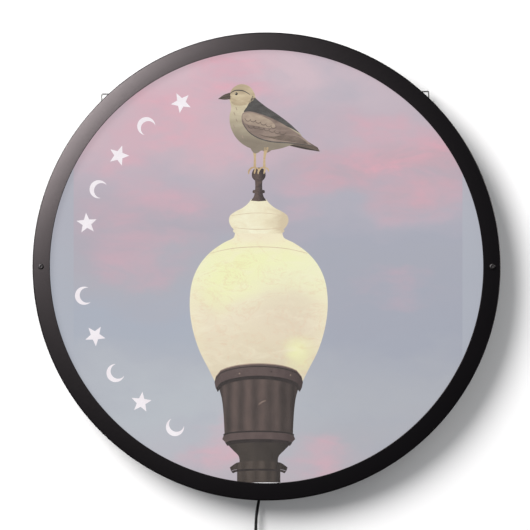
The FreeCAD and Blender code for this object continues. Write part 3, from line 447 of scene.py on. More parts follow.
# LED phosphor and clear lamp lenses
PHOSPHOR, nt, p = new_material("led_phosphor")
v = coords(nt)
nt.links.new(ramp(nt, noise_of(nt, v, 1500.0), [(0.3, (0.75, 0.62, 0.14)), (0.7, (0.88, 0.76, 0.24))]), p.inputs["Base Color"])
p.inputs["Emission Color"].default_value = (1.0, 0.93, 0.80, 1.0)
p.inputs["Emission Strength"].default_value = 1.2
LENS_DOME = finish("lamp_dome", (0.85, 0.88, 0.90), rough=0.10, vary=0.03, grain=400.0, depth=0.000005, rough_vary=0.03)
LENS_DOME.node_tree.nodes["Principled BSDF"].inputs["Alpha"].default_value = 0.45

# clear face: nearly all of what is behind shows through
CLEAR, nt, p = new_material("clear_acrylic")
v = coords(nt)
nt.links.new(ramp(nt, noise_of(nt, v, 6.0), [(0.3, (0.86, 0.88, 0.90)), (0.7, (0.92, 0.93, 0.95))]), p.inputs["Base Color"])
nt.links.new(spread(nt, noise_of(nt, v, 300.0, 2.0), 0.10, 0.18), p.inputs["Roughness"])
p.inputs["Alpha"].default_value = 0.012
p.inputs["Specular IOR Level"].default_value = 0.5

# opal diffuser, lit
OPAL, nt, p = new_material("opal_diffuser")
v = coords(nt)
nt.links.new(ramp(nt, noise_of(nt, v, 12.0, 3.0), [(0.3, (0.84, 0.84, 0.86)), (0.7, (0.90, 0.90, 0.91))]), p.inputs["Base Color"])
p.inputs["Roughness"].default_value = 0.5
p.inputs["Emission Color"].default_value = (0.95, 0.96, 1.0, 1.0)
p.inputs["Emission Strength"].default_value = 0.25

# ---------------------------------------------------------------- CAD nodes: finish and smooth shading
NODE_FINISH = {
    "rear_pan": PAN,
    "face_gasket": FOAM,
    "face_lens": CLEAR,
    "diffuser_panel": OPAL,
    "panel_support_ring": WHITE,
    "bezel_posts": ZINC,
    "reflector_sheet": REFLECT,
    "led_bars": BOARD_WHITE,
    "led_packages": PHOSPHOR,
    "led_lenses": LENS_DOME,
    "led_bar_screws": ZINC,
    "led_jumper_wires": WIRE_RED,
    "input_terminal": TERMINAL,
    "terminal_screws": ZINC,
    "input_lead": CORD,
    "cord_stop": CASE,
    "cord_grommet": CORD,
    "keyhole_plate": ZINC,
    "keyhole_cup": CASE,
    "keyhole_rivets": ZINC,
    "hanger_strap_left": ZINC,
    "hanger_strap_right": ZINC,
    "hanger_rivets": ZINC,
    "hanger_ring_left": WIRE,
    "hanger_ring_right": WIRE,
    "switch_front_shell": CASE,
    "switch_back_shell": CASE,
    "switch_rocker": GLOSSY,
    "switch_contacts": BRASS,
    "switch_screws": ZINC,
    "adapter_strain_relief": CORD,
    "adapter_front_case": CASE,
    "adapter_rear_case": CASE,
    "adapter_blades": NICKEL,
    "adapter_board": PCB,
    "adapter_transformer": CORE,
    "adapter_capacitors": CAN,
}
for name, mat in NODE_FINISH.items():
    o = NODES[name]
    give(o, mat)
    o.data.polygons.foreach_set("use_smooth", [True] * len(o.data.polygons))
    weld = o.modifiers.new("weld", "WELD")
    weld.merge_threshold = 2e-6
    es = o.modifiers.new("split", "EDGE_SPLIT")
    es.split_angle = math.radians(30)
give(lead, CORD)

# ---------------------------------------------------------------- bezel
rim, window = 190.5, 176.0
front, shoulder, skirt = -34.0, -31.5, -16.0
outline = [
    (window, front, 0.45),
    (rim, shoulder, 1.6),
    (rim, skirt, 0.35),
    (rim - 1.0, skirt, 0.35),
    (rim - 1.0, shoulder + 0.84, 0.6),
    (window, front + 1.0, 0.45),
]
profile = round_corners(outline, 0.4, 7)
bezel = lathe("bezel_skin", profile, 720, split=35)
give(bezel, POWDER)
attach(bezel, "sign")
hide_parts("bezel_ring")

# screws: domed head, hexagon recess and a pressed seat under each
def button_screw(name, x, z):
    seg = 48
    rings = [
        (0.0, 2.25, 0.0),
        (0.40, 2.28, 0.0),
        (0.66, 2.18, 0.0),
        (0.88, 1.98, 0.0),
        (1.04, 1.66, 0.0),
        (1.12, 1.30, 0.2),
        (1.12, 1.02, 0.8),
        (1.05, 0.94, 1.0),
        (0.35, 0.90, 1.0),
        (0.28, 0.0, 1.0),
    ]
    verts, faces = [], []
    base_y = -32.75
    for up, r, hexed in rings:
        if r == 0.0:
            verts.append((x * MM, (base_y - up) * MM, z * MM))
            continue
        for i in range(seg):
            a = 2 * math.pi * i / seg
            flat = math.cos(math.pi / 6) / math.cos((a % (math.pi / 3)) - math.pi / 6)
            rr = r * (1 - hexed) + r * flat * 1.06 * hexed
            verts.append(((x + rr * math.cos(a)) * MM, (base_y - up) * MM, (z + rr * math.sin(a)) * MM))
    for k in range(len(rings) - 2):
        for i in range(seg):
            j = (i + 1) % seg
            faces.append((k * seg + i, k * seg + j, (k + 1) * seg + j, (k + 1) * seg + i))
    last = (len(rings) - 2) * seg
    tip = len(verts) - 1
    for i in range(seg):
        faces.append((last + i, last + (i + 1) % seg, tip))
    faces.append(tuple(range(seg - 1, -1, -1)))
    o = mesh_object(name, verts, faces)
    fix_normals(o)
    o.data.set_sharp_from_angle(angle=math.radians(40))
    return o


for side, x in (("left", -183.4), ("right", 183.4)):
    s = button_screw("bezel_screw_" + side, x, 0.0)
    give(s, SCREW)
    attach(s, "sign")
    seat = lathe(
        "screw_seat_" + side,
        round_corners([(0.0, -32.62, 0), (2.42, -32.62, 0.2), (2.42, -31.4, 0), (0.0, -31.4, 0)], 0.2, 3),
        48,
        centre=(x, 0.0, 0.0),
    )
    give(seat, POWDER)
    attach(seat, "sign")
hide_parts("bezel_screws")

# ---------------------------------------------------------------- printed film
FILM_R, CUT_Z = 180.3, -175.9
BACK = -28.90


def print_material(name, build, rough=0.6, light=0.860, body=0.08):
    """Ink on a lit film. build gives the ink's colour; part of it shows by reflection and part by the light behind."""
    m, nt, p = new_material(name)
    ink = build(nt)
    dim = nt.nodes.new("ShaderNodeVectorMath")
    dim.operation = "SCALE"
    dim.inputs["Scale"].default_value = body
    nt.links.new(ink, dim.inputs[0])
    nt.links.new(dim.outputs["Vector"], p.inputs["Base Color"])
    nt.links.new(ink, p.inputs["Emission Color"])
    p.inputs["Emission Strength"].default_value = light
    p.inputs["Roughness"].default_value = rough
    p.inputs["Specular IOR Level"].default_value = 0.04
    return m


def separate(nt, vector):
    s = nt.nodes.new("ShaderNodeSeparateXYZ")
    nt.links.new(vector, s.inputs[0])
    return s.outputs[0], s.outputs[2]


def blob(nt, x, z, cx_, cz_, rx, rz, power=1.0):
    """A soft round patch, 1 at its centre and 0 outside."""
    dx = math_node(nt, "MULTIPLY", math_node(nt, "SUBTRACT", x, cx_ * MM), 1000.0 / rx)
    dz = math_node(nt, "MULTIPLY", math_node(nt, "SUBTRACT", z, cz_ * MM), 1000.0 / rz)
    d2 = math_node(nt, "ADD", math_node(nt, "MULTIPLY", dx, dx), math_node(nt, "MULTIPLY", dz, dz))
    inv = math_node(nt, "SUBTRACT", 1.0, d2, clamp=True)
    return math_node(nt, "MULTIPLY", math_node(nt, "MULTIPLY", inv, inv), power)


def sky_ink(nt):
    v = coords(nt)
    drift = nt.nodes.new("ShaderNodeTexNoise")
    drift.inputs["Scale"].default_value = 9.0
    drift.inputs["Detail"].default_value = 5.0
    drift.inputs["Roughness"].default_value = 0.55
    nt.links.new(coords(nt, (1.0, 1.0, 1.9)), drift.inputs["Vector"])
    offset = nt.nodes.new("ShaderNodeVectorMath")
    offset.operation = "SUBTRACT"
    offset.inputs[1].default_value = (0.5, 0.5, 0.5)
    nt.links.new(drift.outputs["Color"], offset.inputs[0])
    shift = nt.nodes.new("ShaderNodeVectorMath")
    shift.operation = "SCALE"
    shift.inputs["Scale"].default_value = 0.125
    nt.links.new(offset.outputs["Vector"], shift.inputs[0])
    bent = nt.nodes.new("ShaderNodeVectorMath")
    bent.operation = "ADD"
    nt.links.new(v, bent.inputs[0])
    nt.links.new(shift.outputs["Vector"], bent.inputs[1])
    x, z = separate(nt, bent.outputs["Vector"])
    height = math_node(nt, "MULTIPLY", math_node(nt, "ADD", z, 0.180), 1 / 0.36)
    left_side = ramp(
        nt,
        height,
        [
            (0.0, lin(190, 182, 190)),
            (0.10, lin(187, 189, 197)),
            (0.18, lin(186, 191, 198)),
            (0.26, lin(180, 184, 193)),
            (0.34, lin(173, 179, 191)),
            (0.42, lin(172, 178, 191)),
            (0.49, lin(177, 176, 186)),
            (0.56, lin(179, 172, 183)),
            (0.64, lin(185, 175, 186)),
            (0.72, lin(192, 179, 190)),
            (0.80, lin(206, 181, 191)),
            (0.88, lin(211, 184, 194)),
            (1.0, lin(214, 190, 199)),
        ],
    )
    right_side = ramp(
        nt,
        height,
        [
            (0.0, lin(190, 180, 188)),
            (0.10, lin(178, 179, 187)),
            (0.18, lin(178, 181, 189)),
            (0.26, lin(175, 178, 187)),
            (0.34, lin(167, 171, 184)),
            (0.42, lin(168, 171, 184)),
            (0.50, lin(170, 172, 184)),
            (0.56, lin(170, 172, 185)),
            (0.64, lin(181, 177, 189)),
            (0.72, lin(186, 170, 179)),
            (0.80, lin(195, 178, 189)),
            (0.88, lin(199, 184, 194)),
            (1.0, lin(212, 190, 199)),
        ],
    )
    base = mix_color(nt, spread(nt, x, 0.0, 1.0, -0.045, 0.055), left_side, right_side)
    pink = None
    for spec in (
        (-20, 148, 74, 30, 1.25),
        (-76, 118, 58, 26, 0.95),
        (-112, 88, 46, 26, 0.6),
        (-84, 54, 52, 30, 0.5),
        (108, 96, 62, 30, 0.9),
        (60, 78, 60, 28, 0.8),
        (124, 64, 56, 34, 0.55),
        (20, 60, 40, 26, 0.4),
        (-130, 24, 40, 26, 0.4),
        (-98, 8, 62, 18, 0.35),
        (112, -14, 44, 16, 0.28),
        (-40, -158, 36, 22, 0.6),
        (36, -160, 36, 22, 0.6),
    ):
        b = blob(nt, x, z, *spec[:4], power=spec[4])
        pink = b if pink is None else math_node(nt, "ADD", pink, b)
    wisps = noise_of(nt, coords(nt, (1.0, 1.0, 2.6)), 22.0, 6.0, 0.6, 0.6)
    pink = math_node(nt, "MULTIPLY", pink, spread(nt, wisps, 0.25, 1.15, 0.33, 0.66), clamp=True)
    col = mix_color(nt, math_node(nt, "MULTIPLY", pink, 0.80), base, lin(232, 170, 184))
    # cool breaks between the clouds
    cool = noise_of(nt, coords(nt, (1.0, 1.0, 1.7), (0.3, 0.0, 0.1)), 16.0, 5.0, 0.6, 0.4)
    col = mix_color(nt, spread(nt, cool, 0.0, 0.34, 0.50, 0.72), col, lin(170, 175, 188))
    # plain strips beyond the picture's sides
    xs, _ = separate(nt, v)
    edge = math_node(nt, "GREATER_THAN", math_node(nt, "ABSOLUTE", math_node(nt, "SUBTRACT", xs, 0.0012)), 0.1583)
    plain = ramp(nt, noise_of(nt, v, 7.0, 3.0), [(0.35, lin(173, 178, 189)), (0.65, lin(180, 184, 194))])
    col = mix_color(nt, math_node(nt, "MULTIPLY", edge, 0.72), col, plain)
    # print grain
    grain = noise_of(nt, v, 900.0, 2.0, 0.7)
    dark = mix_color(nt, spread(nt, grain, 0.0, 0.035), col, lin(120, 120, 132))
    return dark


half = math.asin(-CUT_Z / FILM_R)
sky_outline = []
steps = 300
start, end = -math.pi / 2 + (math.pi / 2 - half), 3 * math.pi / 2 - (math.pi / 2 - half)
for i in range(steps + 1):
    a = start + (end - start) * i / steps
    sky_outline.append((FILM_R * math.cos(a), FILM_R * math.sin(a)))
sky = slab("film_sky", sky_outline, -28.97, BACK)
give(sky, print_material("ink_sky", sky_ink))
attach(sky, "sign")
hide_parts("graphic_film")
INKS = {"lamp": [], "post": [], "bird": [], "marks": []}
SUBJECT = {"globe": "lamp", "cap": "lamp", "post": "post", "knob": "bird", "bird": "bird", "mark": "marks"}


def ink_piece(name, outline, mat, level):
    """One printed shape of the picture, a hair in front of the one below. Shapes of one subject share an object."""
    INKS[SUBJECT[name.split("_")[1]]].append((slab(name, outline, -28.985 - 0.014 * level, BACK - 0.02), mat))


def print_subjects():
    """Gathers each subject's shapes into one object with a material slot per ink."""
    for subject, shapes in INKS.items():
        me = bpy.data.meshes.new("film_" + subject)
        bm = bmesh.new()
        inks = []
        for shape, mat in shapes:
            if mat not in inks:
                inks.append(mat)
            first = len(bm.faces)
            bm.from_mesh(shape.data)
            bm.faces.ensure_lookup_table()
            for f in bm.faces[first:]:
                f.material_index = inks.index(mat)
            old = shape.data
            bpy.data.objects.remove(shape)
            bpy.data.meshes.remove(old)
        bm.to_mesh(me)
        bm.free()
        for mat in inks:
            me.materials.append(mat)
        o = bpy.data.objects.new("film_" + subject, me)
        collection.objects.link(o)
        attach(o, "sign")


# ---- a plain street lamp, drawn to its own profile: half widths against height, both sides alike
LAMP_X = -6.4


def turned(profile, x0=LAMP_X, steps=5):
    """A symmetric outline from (half width, height) pairs; a third value of 0 keeps a corner."""
    right = flow(profile, closed=False, steps=steps)
    return [(x0 + w, z) for w, z in right] + [(x0 - w, z) for w, z in right[::-1]]


def glass_ink(nt):
    v = coords(nt)
    brush = nt.nodes.new("ShaderNodeTexNoise")
    brush.inputs["Scale"].default_value = 26.0
    brush.inputs["Detail"].default_value = 4.0
    nt.links.new(coords(nt, (1.0, 1.0, 1.8)), brush.inputs["Vector"])
    off = nt.nodes.new("ShaderNodeVectorMath")
    off.operation = "SUBTRACT"
    off.inputs[1].default_value = (0.5, 0.5, 0.5)
    nt.links.new(brush.outputs["Color"], off.inputs[0])
    sc = nt.nodes.new("ShaderNodeVectorMath")
    sc.operation = "SCALE"
    sc.inputs["Scale"].default_value = 0.03
    nt.links.new(off.outputs["Vector"], sc.inputs[0])
    ad = nt.nodes.new("ShaderNodeVectorMath")
    ad.operation = "ADD"
    nt.links.new(v, ad.inputs[0])
    nt.links.new(sc.outputs["Vector"], ad.inputs[1])
    x, z = separate(nt, ad.outputs["Vector"])
    h = math_node(nt, "MULTIPLY", math_node(nt, "ADD", z, 0.088), 1 / 0.145)
    col = ramp(
        nt,
        h,
        [
            (0.0, lin(220, 207, 180)),
            (0.14, lin(228, 215, 188)),
            (0.30, lin(235, 223, 197)),
            (0.42, lin(237, 229, 199)),
            (0.50, lin(240, 238, 200)),
            (0.62, lin(241, 241, 202)),
            (0.74, lin(242, 235, 200)),
            (0.88, lin(240, 226, 200)),
            (1.0, lin(236, 222, 200)),
        ],
    )
    glow = blob(nt, x, z, -24, 0, 44, 30, 0.75)
    glow = math_node(nt, "ADD", glow, blob(nt, x, z, 18, 8, 34, 18, 0.5))
    glow = math_node(nt, "ADD", glow, blob(nt, x, z, -44, -22, 22, 26, 0.45))
    glow = math_node(nt, "ADD", glow, blob(nt, x, z, 26, -70, 20, 22, 0.8), clamp=True)
    col = mix_color(nt, glow, col, lin(241, 243, 184))
    shade = blob(nt, x, z, 22, -40, 46, 34, 0.5)
    col = mix_color(nt, shade, col, lin(220, 203, 180))
    xr, zr = separate(nt, v)
    # brighter just inside the outline of the glass
    side = math_node(nt, "ABSOLUTE", math_node(nt, "ADD", xr, 0.0064))
    col = mix_color(nt, spread(nt, side, 0.0, 0.45, 0.040, 0.058), col, lin(243, 237, 200))
    # hand-brushed breaks, the odd rosy one among them
    smear = noise_of(nt, coords(nt, (1.0, 1.0, 2.2)), 55.0, 5.0, 0.62, 0.9)
    col = mix_color(nt, spread(nt, smear, 0.0, 0.40, 0.48, 0.72), col, lin(246, 240, 214))
    rosy = noise_of(nt, coords(nt, (1.0, 1.0, 1.6), (0.7, 0.2, 0.4)), 34.0, 5.0, 0.6, 1.4)
    thin_line = math_node(nt, "SUBTRACT", 1.0, math_node(nt, "MULTIPLY", math_node(nt, "ABSOLUTE", math_node(nt, "SUBTRACT", rosy, 0.5)), 60.0), clamp=True)
    return mix_color(nt, math_node(nt, "MULTIPLY", thin_line, 0.30), col, lin(226, 188, 158))


GLASS = print_material("ink_glass", glass_ink, light=0.870, body=0.08)
CAP_Z = 30.0
ink_piece(
    "film_globe",
    turned([(0, -97), (34.5, -96, 0), (40.5, -84), (48.5, -68), (54, -50), (56.2, -32), (54.6, -14), (49, 0), (40, 11), (29, 19), (21, 23), (19.5, 26), (19.0, 30.5, 0), (0, 30.5)]),
    GLASS,
    0,
)


def flat_ink(a, b, scale=60.0, stretch=(1.0, 1.0, 1.0), detail=4.0, low=0.32, high=0.68):
    def build(nt):
        return ramp(nt, noise_of(nt, coords(nt, stretch), scale, detail, 0.6, 0.3), [(low, a), (high, b)])

    return build


def round_ink(dark, mid, light_, centre, half, peak=-0.35, scale=60.0):
    """Shading of something round: darker to both sides, lightest a little left of its middle."""

    def build(nt):
        x, z = separate(nt, coords(nt))
        t = math_node(nt, "MULTIPLY", math_node(nt, "SUBTRACT", x, (centre + peak * half) * MM), 1000.0 / half)
        t = math_node(nt, "SUBTRACT", 1.0, math_node(nt, "MULTIPLY", math_node(nt, "MULTIPLY", t, t), 0.62))
        rough_ = noise_of(nt, coords(nt, (1.0, 1.0, 1.6)), scale, 5.0, 0.62, 0.5)
        f = math_node(nt, "ADD", math_node(nt, "MULTIPLY", t, 0.62), math_node(nt, "MULTIPLY", math_node(nt, "SUBTRACT", rough_, 0.5), 0.9))
        return ramp(nt, f, [(0.05, dark), (0.42, mid), (0.75, light_)])

    return build


def stroke(points, width, steps=6):
    """A line of varying width as a closed outline."""
    line = flow([(q[0], q[1]) for q in points], closed=False, steps=steps)
    left_, right_ = [], []
    n = len(line)
    for i, q in enumerate(line):
        a = Vector(line[max(i - 1, 0)])
        b = Vector(line[min(i + 1, n - 1)])
        d = (b - a).normalized()
        t = i / (n - 1)
        w = width * (0.25 + 0.75 * math.sin(math.pi * min(1.0, 0.08 + 0.84 * t)))
        left_.append((q[0] - d.y * w / 2, q[1] + d.x * w / 2))
        right_.append((q[0] + d.y * w / 2, q[1] - d.x * w / 2))
    return left_ + right_[::-1]


CREAM = print_material("ink_glass_cap", round_ink(lin(212, 196, 166), lin(236, 226, 194), lin(246, 243, 214), LAMP_X, 22, scale=90.0), light=0.870, body=0.08)
CREAM_LINE = print_material("ink_glass_line", flat_ink(lin(206, 184, 154), lin(222, 204, 176), 90.0), light=0.870, body=0.08)
# cap of the globe: a low roll, a bell and the seat of the knob
ink_piece("film_cap_bell", turned([(0, 29.5), (19.4, 29.5, 0), (22.4, 32.5), (24.2, 37), (23.2, 41.5), (18.5, 45), (13.5, 47.5), (9.0, 51), (6.0, 54.8, 0), (0, 54.8)]), CREAM, 1)
ink_piece("film_cap_roll", turned([(0, 26.8), (18.4, 26.8, 0), (20.6, 28.2), (20.6, 30.0), (18.6, 31.2, 0), (0, 31.2)]), CREAM, 2)
ink_piece("film_cap_line", stroke([(LAMP_X - 19.6, 31.6), (LAMP_X - 9, 30.5), (LAMP_X, 30.3), (LAMP_X + 9, 30.5), (LAMP_X + 19.6, 31.6)], 0.6), CREAM_LINE, 3)
ink_piece("film_cap_line_high", stroke([(LAMP_X - 22.2, 41.4), (LAMP_X - 9, 43.2), (LAMP_X, 43.6), (LAMP_X + 9, 43.2), (LAMP_X + 22.2, 41.4)], 0.5), CREAM_LINE, 3)
ink_piece("film_globe_seam", stroke([(LAMP_X - 40, 10.6), (LAMP_X - 22, 14.6), (LAMP_X, 16.0), (LAMP_X + 22, 14.6), (LAMP_X + 40, 10.6)], 0.6), CREAM_LINE, 1)


# ---- its post: collar, ribbed cup, bead, neck, ring and column
def bronze_ink(dark, mid, light_, half, ribs=0, scale=130.0):
    def build(nt):
        x, z = separate(nt, coords(nt))
        u = math_node(nt, "MULTIPLY", math_node(nt, "SUBTRACT", x, LAMP_X * MM), 1000.0 / half)
        f = math_node(nt, "MULTIPLY", math_node(nt, "ADD", u, 0.25), 0.9)
        f = math_node(nt, "SUBTRACT", 0.62, math_node(nt, "MULTIPLY", math_node(nt, "MULTIPLY", f, f), 0.42))
        if ribs:
            turn_ = math_node(nt, "ARCSINE", math_node(nt, "MULTIPLY", u, 0.97, clamp=False))
            wave = math_node(nt, "SINE", math_node(nt, "MULTIPLY", turn_, float(ribs)))
            f = math_node(nt, "ADD", f, math_node(nt, "MULTIPLY", wave, 0.16))
        blotch = noise_of(nt, coords(nt, (1.0, 1.0, 0.45)), scale, 5.0, 0.62)
        f = math_node(nt, "ADD", f, math_node(nt, "MULTIPLY", math_node(nt, "SUBTRACT", blotch, 0.5), 0.75))
        return ramp(nt, f, [(0.08, dark), (0.42, mid), (0.86, light_)])

    return build


BRONZE = print_material("ink_bronze_cup", bronze_ink(lin(62, 52, 49), lin(84, 72, 68), lin(116, 98, 92), 32, 17), light=0.61, body=0.08)
BRONZE_TOP = print_material("ink_bronze_band", bronze_ink(lin(78, 64, 62), lin(96, 80, 78), lin(122, 104, 100), 36), light=0.61, body=0.08)
BRONZE_COLUMN = print_material("ink_bronze_column", bronze_ink(lin(56, 48, 44), lin(74, 64, 58), lin(98, 86, 78), 19, 12), light=0.61, body=0.08)
BRONZE_DARK = print_material("ink_bronze_dark", bronze_ink(lin(50, 44, 40), lin(64, 56, 51), lin(84, 74, 67), 27), light=0.61, body=0.08)
BRONZE_LINE = print_material("ink_bronze_line", flat_ink(lin(50, 42, 40), lin(66, 56, 54), 90.0), light=0.61, body=0.08)
GLINT = print_material("ink_glint", flat_ink(lin(140, 120, 110), lin(172, 150, 134), 90.0), light=0.870, body=0.08)


def arched(w0, z0, w1, z1, sag, bulge=0.0, steps=18):
    """A band seen from a little below: both its edges arch upward in the middle."""
    top, low = [], []
    for i in range(steps + 1):
        t = -1 + 2 * i / steps
        s_ = math.sqrt(max(0.0, 1 - t * t))
        top.append((LAMP_X + w0 * t, z0 + sag * s_))
        low.append((LAMP_X + w1 * t, z1 + sag * s_))
    side_r = [(LAMP_X + max(w0, w1) + bulge, (z0 + z1) / 2)] if bulge else []
    side_l = [(LAMP_X - max(w0, w1) - bulge, (z0 + z1) / 2)] if bulge else []
    return top + side_r + low[::-1] + side_l


ink_piece("film_post_column", [(LAMP_X - 17.6, -164), (LAMP_X + 17.6, -164), (LAMP_X + 17.6, CUT_Z), (LAMP_X - 17.6, CUT_Z)], BRONZE_COLUMN, 1)
ink_piece("film_post_neck", turned([(0, -140), (26.5, -140, 0), (25.0, -145), (20.5, -150), (16.6, -154), (15.6, -158), (16.2, -162, 0), (0, -162)]), BRONZE_DARK, 2)
ink_piece("film_post_ring", arched(19.5, -160.6, 22.6, -166.6, 2.2, 0.9), BRONZE_COLUMN, 3)
ink_piece("film_post_ring_shadow", arched(22.4, -166.8, 21.0, -168.4, 2.2), BRONZE_LINE, 2)
ink_piece("film_post_cup", turned([(0, -88), (34.0, -90, 0), (32.6, -98), (30.2, -107), (28.9, -117), (28.2, -128), (27.8, -138, 0), (0, -138)]), BRONZE, 3)
ink_piece("film_post_bead", arched(28.6, -137.8, 27.0, -143.4, 3.0, 1.1), BRONZE_TOP, 4)
ink_piece("film_post_bead_shadow", arched(27.4, -143.4, 25.4, -146.2, 3.0), BRONZE_LINE, 3)
ink_piece("film_post_bead_top", arched(28.9, -136.6, 28.6, -137.9, 3.0), BRONZE_LINE, 5)
ink_piece("film_post_band", arched(34.8, -89.2, 35.0, -99.4, 10.4, 1.0), BRONZE_TOP, 4)
ink_piece("film_post_band_low", arched(34.8, -99.2, 33.4, -102.2, 10.4), BRONZE_LINE, 4)
ink_piece("film_post_band_edge", arched(35.2, -91.4, 35.2, -92.2, 10.4), BRONZE_LINE, 5)
ink_piece("film_post_band_light", arched(34.8, -89.2, 34.9, -90.0, 10.4), GLINT, 5)
for n, (x_, z_, w_) in enumerate(((-22.0, -87.2, 0.55), (4.0, -85.6, 0.6), (19.5, -88.4, 0.5))):
    ring_pts = [(x_ + w_ * math.cos(2 * math.pi * k / 14), z_ + w_ * math.sin(2 * math.pi * k / 14)) for k in range(14)]
    ink_piece("film_post_rivet_%d" % n, ring_pts, BRONZE_LINE if n == 1 else GLINT, 6)
ink_piece("film_post_scratch", stroke([(-6.5, -112.5), (-3.4, -110.2), (-0.6, -109.2)], 0.7), GLINT, 4)

# ---- a plain perching bird on the knob, a common garden shape with feathers of its own
def feather_ink(a, b, c, scale=110.0, tilt=(0.45, 1.0, 1.5), fade=None):
    def build(nt):
        streak = noise_of(nt, coords(nt, tilt), scale, 5.0, 0.62, 0.5)
        soft = noise_of(nt, coords(nt), 45.0, 3.0)
        f = math_node(nt, "ADD", math_node(nt, "MULTIPLY", streak, 0.60), math_node(nt, "MULTIPLY", soft, 0.40))
        col = ramp(nt, f, [(0.36, a), (0.5, b), (0.64, c)])
        if fade:
            # darker and greyer towards the underside
            x, z = separate(nt, coords(nt))
            lowness = math_node(nt, "ADD", z, math_node(nt, "MULTIPLY", x, fade[2]))
            col = mix_color(nt, spread(nt, lowness, 0.75, 0.0, fade[0] * MM, fade[1] * MM), col, fade[3])
        return col

    return build


INK_BODY = print_material("ink_plumage", feather_ink(lin(190, 177, 148), lin(208, 196, 166), lin(224, 212, 184), fade=(100.0, 126.0, 0.15, lin(106, 94, 88))), light=0.870, body=0.08)
INK_HEAD = print_material("ink_head", feather_ink(lin(170, 152, 124), lin(192, 174, 144), lin(212, 196, 164), 150.0), light=0.870, body=0.08)
INK_WING = print_material("ink_wing", feather_ink(lin(116, 100, 91), lin(140, 122, 112), lin(166, 147, 133)), light=0.860, body=0.08)
INK_COVERT = print_material("ink_wing_covert", feather_ink(lin(142, 124, 112), lin(166, 147, 131), lin(188, 170, 150), 150.0), light=0.860, body=0.08)
INK_QUILL = print_material("ink_wing_quill", feather_ink(lin(84, 72, 64), lin(102, 88, 78), lin(122, 107, 94), 150.0), light=0.860, body=0.08)
INK_SLATE = print_material("ink_mantle", feather_ink(lin(62, 58, 56), lin(80, 77, 75), lin(100, 98, 95), 150.0), light=0.78, body=0.08)
INK_BEAK = print_material("ink_beak", feather_ink(lin(74, 64, 58), lin(92, 80, 72), lin(110, 98, 86)), light=0.78, body=0.08)
INK_LEG = print_material("ink_leg", feather_ink(lin(176, 146, 108), lin(198, 172, 132), lin(210, 192, 154)), light=0.860, body=0.08)
INK_FINIAL = print_material("ink_knob", round_ink(lin(52, 42, 42), lin(72, 60, 58), lin(110, 92, 84), LAMP_X, 5.5, scale=160.0), light=0.78, body=0.08)
INK_DARK = print_material("ink_dark", feather_ink(lin(38, 32, 30), lin(48, 42, 38), lin(58, 50, 46)), light=0.76, body=0.08)
INK_PALE = print_material("ink_pale", feather_ink(lin(220, 212, 188), lin(230, 222, 198), lin(238, 230, 208)), light=0.870, body=0.08)

# knob and stem
ink_piece("film_knob_stem", turned([(0, 53), (6.4, 53.6, 0), (4.0, 57), (3.0, 62), (2.9, 68), (3.4, 71.5, 0), (0, 71.5)]), INK_FINIAL, 2)
ink_piece("film_knob_ball", turned([(0, 69.6), (3.2, 70.1), (5.2, 72.4), (5.6, 75.4), (4.6, 78.4), (2.4, 80.2), (0, 80.6)]), INK_FINIAL, 3)
ink_piece("film_knob_ring", turned([(0, 59.4), (4.6, 59.8), (5.0, 61.0), (4.4, 62.2), (0, 62.6)]), INK_FINIAL, 3)

# tail, legs, body, head, wing, from back to front
ink_piece("film_bird_tail", flow([(14, 108, 0), (28, 104.5), (41.5, 97.0, 0), (43.5, 93.6, 0), (30, 95.6), (16, 99, 0)], steps=5), INK_QUILL, 1)
ink_piece("film_bird_tail_edge", stroke([(17, 99.6), (29, 96.8), (42.6, 93.8)], 0.9), INK_DARK, 2)
for n, (x_, lean) in enumerate(((-9.6, -0.5), (-1.8, 1.6))):
    ink_piece("film_bird_leg_%d" % n, flow([(x_ + lean - 1.6, 97.0, 0), (x_ + lean + 2.0, 97.0, 0), (x_ + 1.0, 89.0), (x_ + 0.9, 80.4), (x_ - 0.9, 80.4), (x_ - 0.8, 89.0)], steps=5), INK_LEG, 3 + n)
    ink_piece("film_bird_toe_front_%d" % n, stroke([(x_ + 1.0, 80.8), (x_ - 2.6, 80.2), (x_ - 4.8, 77.6), (x_ - 5.0, 75.2)], 1.5), INK_LEG, 5 + n)
    ink_piece("film_bird_toe_mid_%d" % n, stroke([(x_ + 0.4, 81.0), (x_ + 0.2, 78.2), (x_ - 0.4, 75.4)], 1.4), INK_LEG, 6 + n)
    ink_piece("film_bird_toe_back_%d" % n, stroke([(x_ - 0.4, 80.8), (x_ + 2.6, 79.6), (x_ + 3.6, 77.2)], 1.3), INK_LEG, 5 + n)
ink_piece(
    "film_bird_body",
    flow([(-30.4, 139.0), (-27.6, 145.0), (-21.5, 148.4), (-14.6, 147.0), (-10.4, 142.0), (-8.0, 135.8), (-1.0, 130.0), (9.0, 123.6), (19.0, 116.0), (27.5, 108.0), (29.0, 103.0), (22.0, 99.6), (12.0, 96.2), (1.0, 94.4), (-9.0, 95.0), (-18.0, 98.6), (-25.0, 105.0), (-29.2, 113.4), (-30.2, 122.0), (-28.8, 129.0), (-29.6, 133.6)], steps=7),
    INK_BODY,
    4,
)
ink_piece("film_bird_head", flow([(-30.4, 139.0), (-27.6, 145.0), (-21.5, 148.4), (-14.6, 147.0), (-10.4, 142.0), (-9.6, 137.4), (-13.4, 133.2), (-20.0, 131.0), (-26.4, 131.6), (-29.4, 134.8)], steps=6), INK_HEAD, 5)
ink_piece("film_bird_brow", stroke([(-30.2, 140.6), (-25.6, 143.2), (-19.0, 143.0), (-13.6, 140.0)], 0.9), INK_SLATE, 6)
ink_piece("film_bird_beak", flow([(-29.6, 141.6, 0), (-34.6, 139.9), (-39.6, 136.4, 0), (-34.4, 135.8), (-29.4, 136.2, 0)], steps=5), INK_BEAK, 6)
ink_piece("film_bird_beak_gape", stroke([(-38.6, 136.7), (-33.6, 138.0), (-28.4, 138.2)], 0.4), INK_DARK, 7)
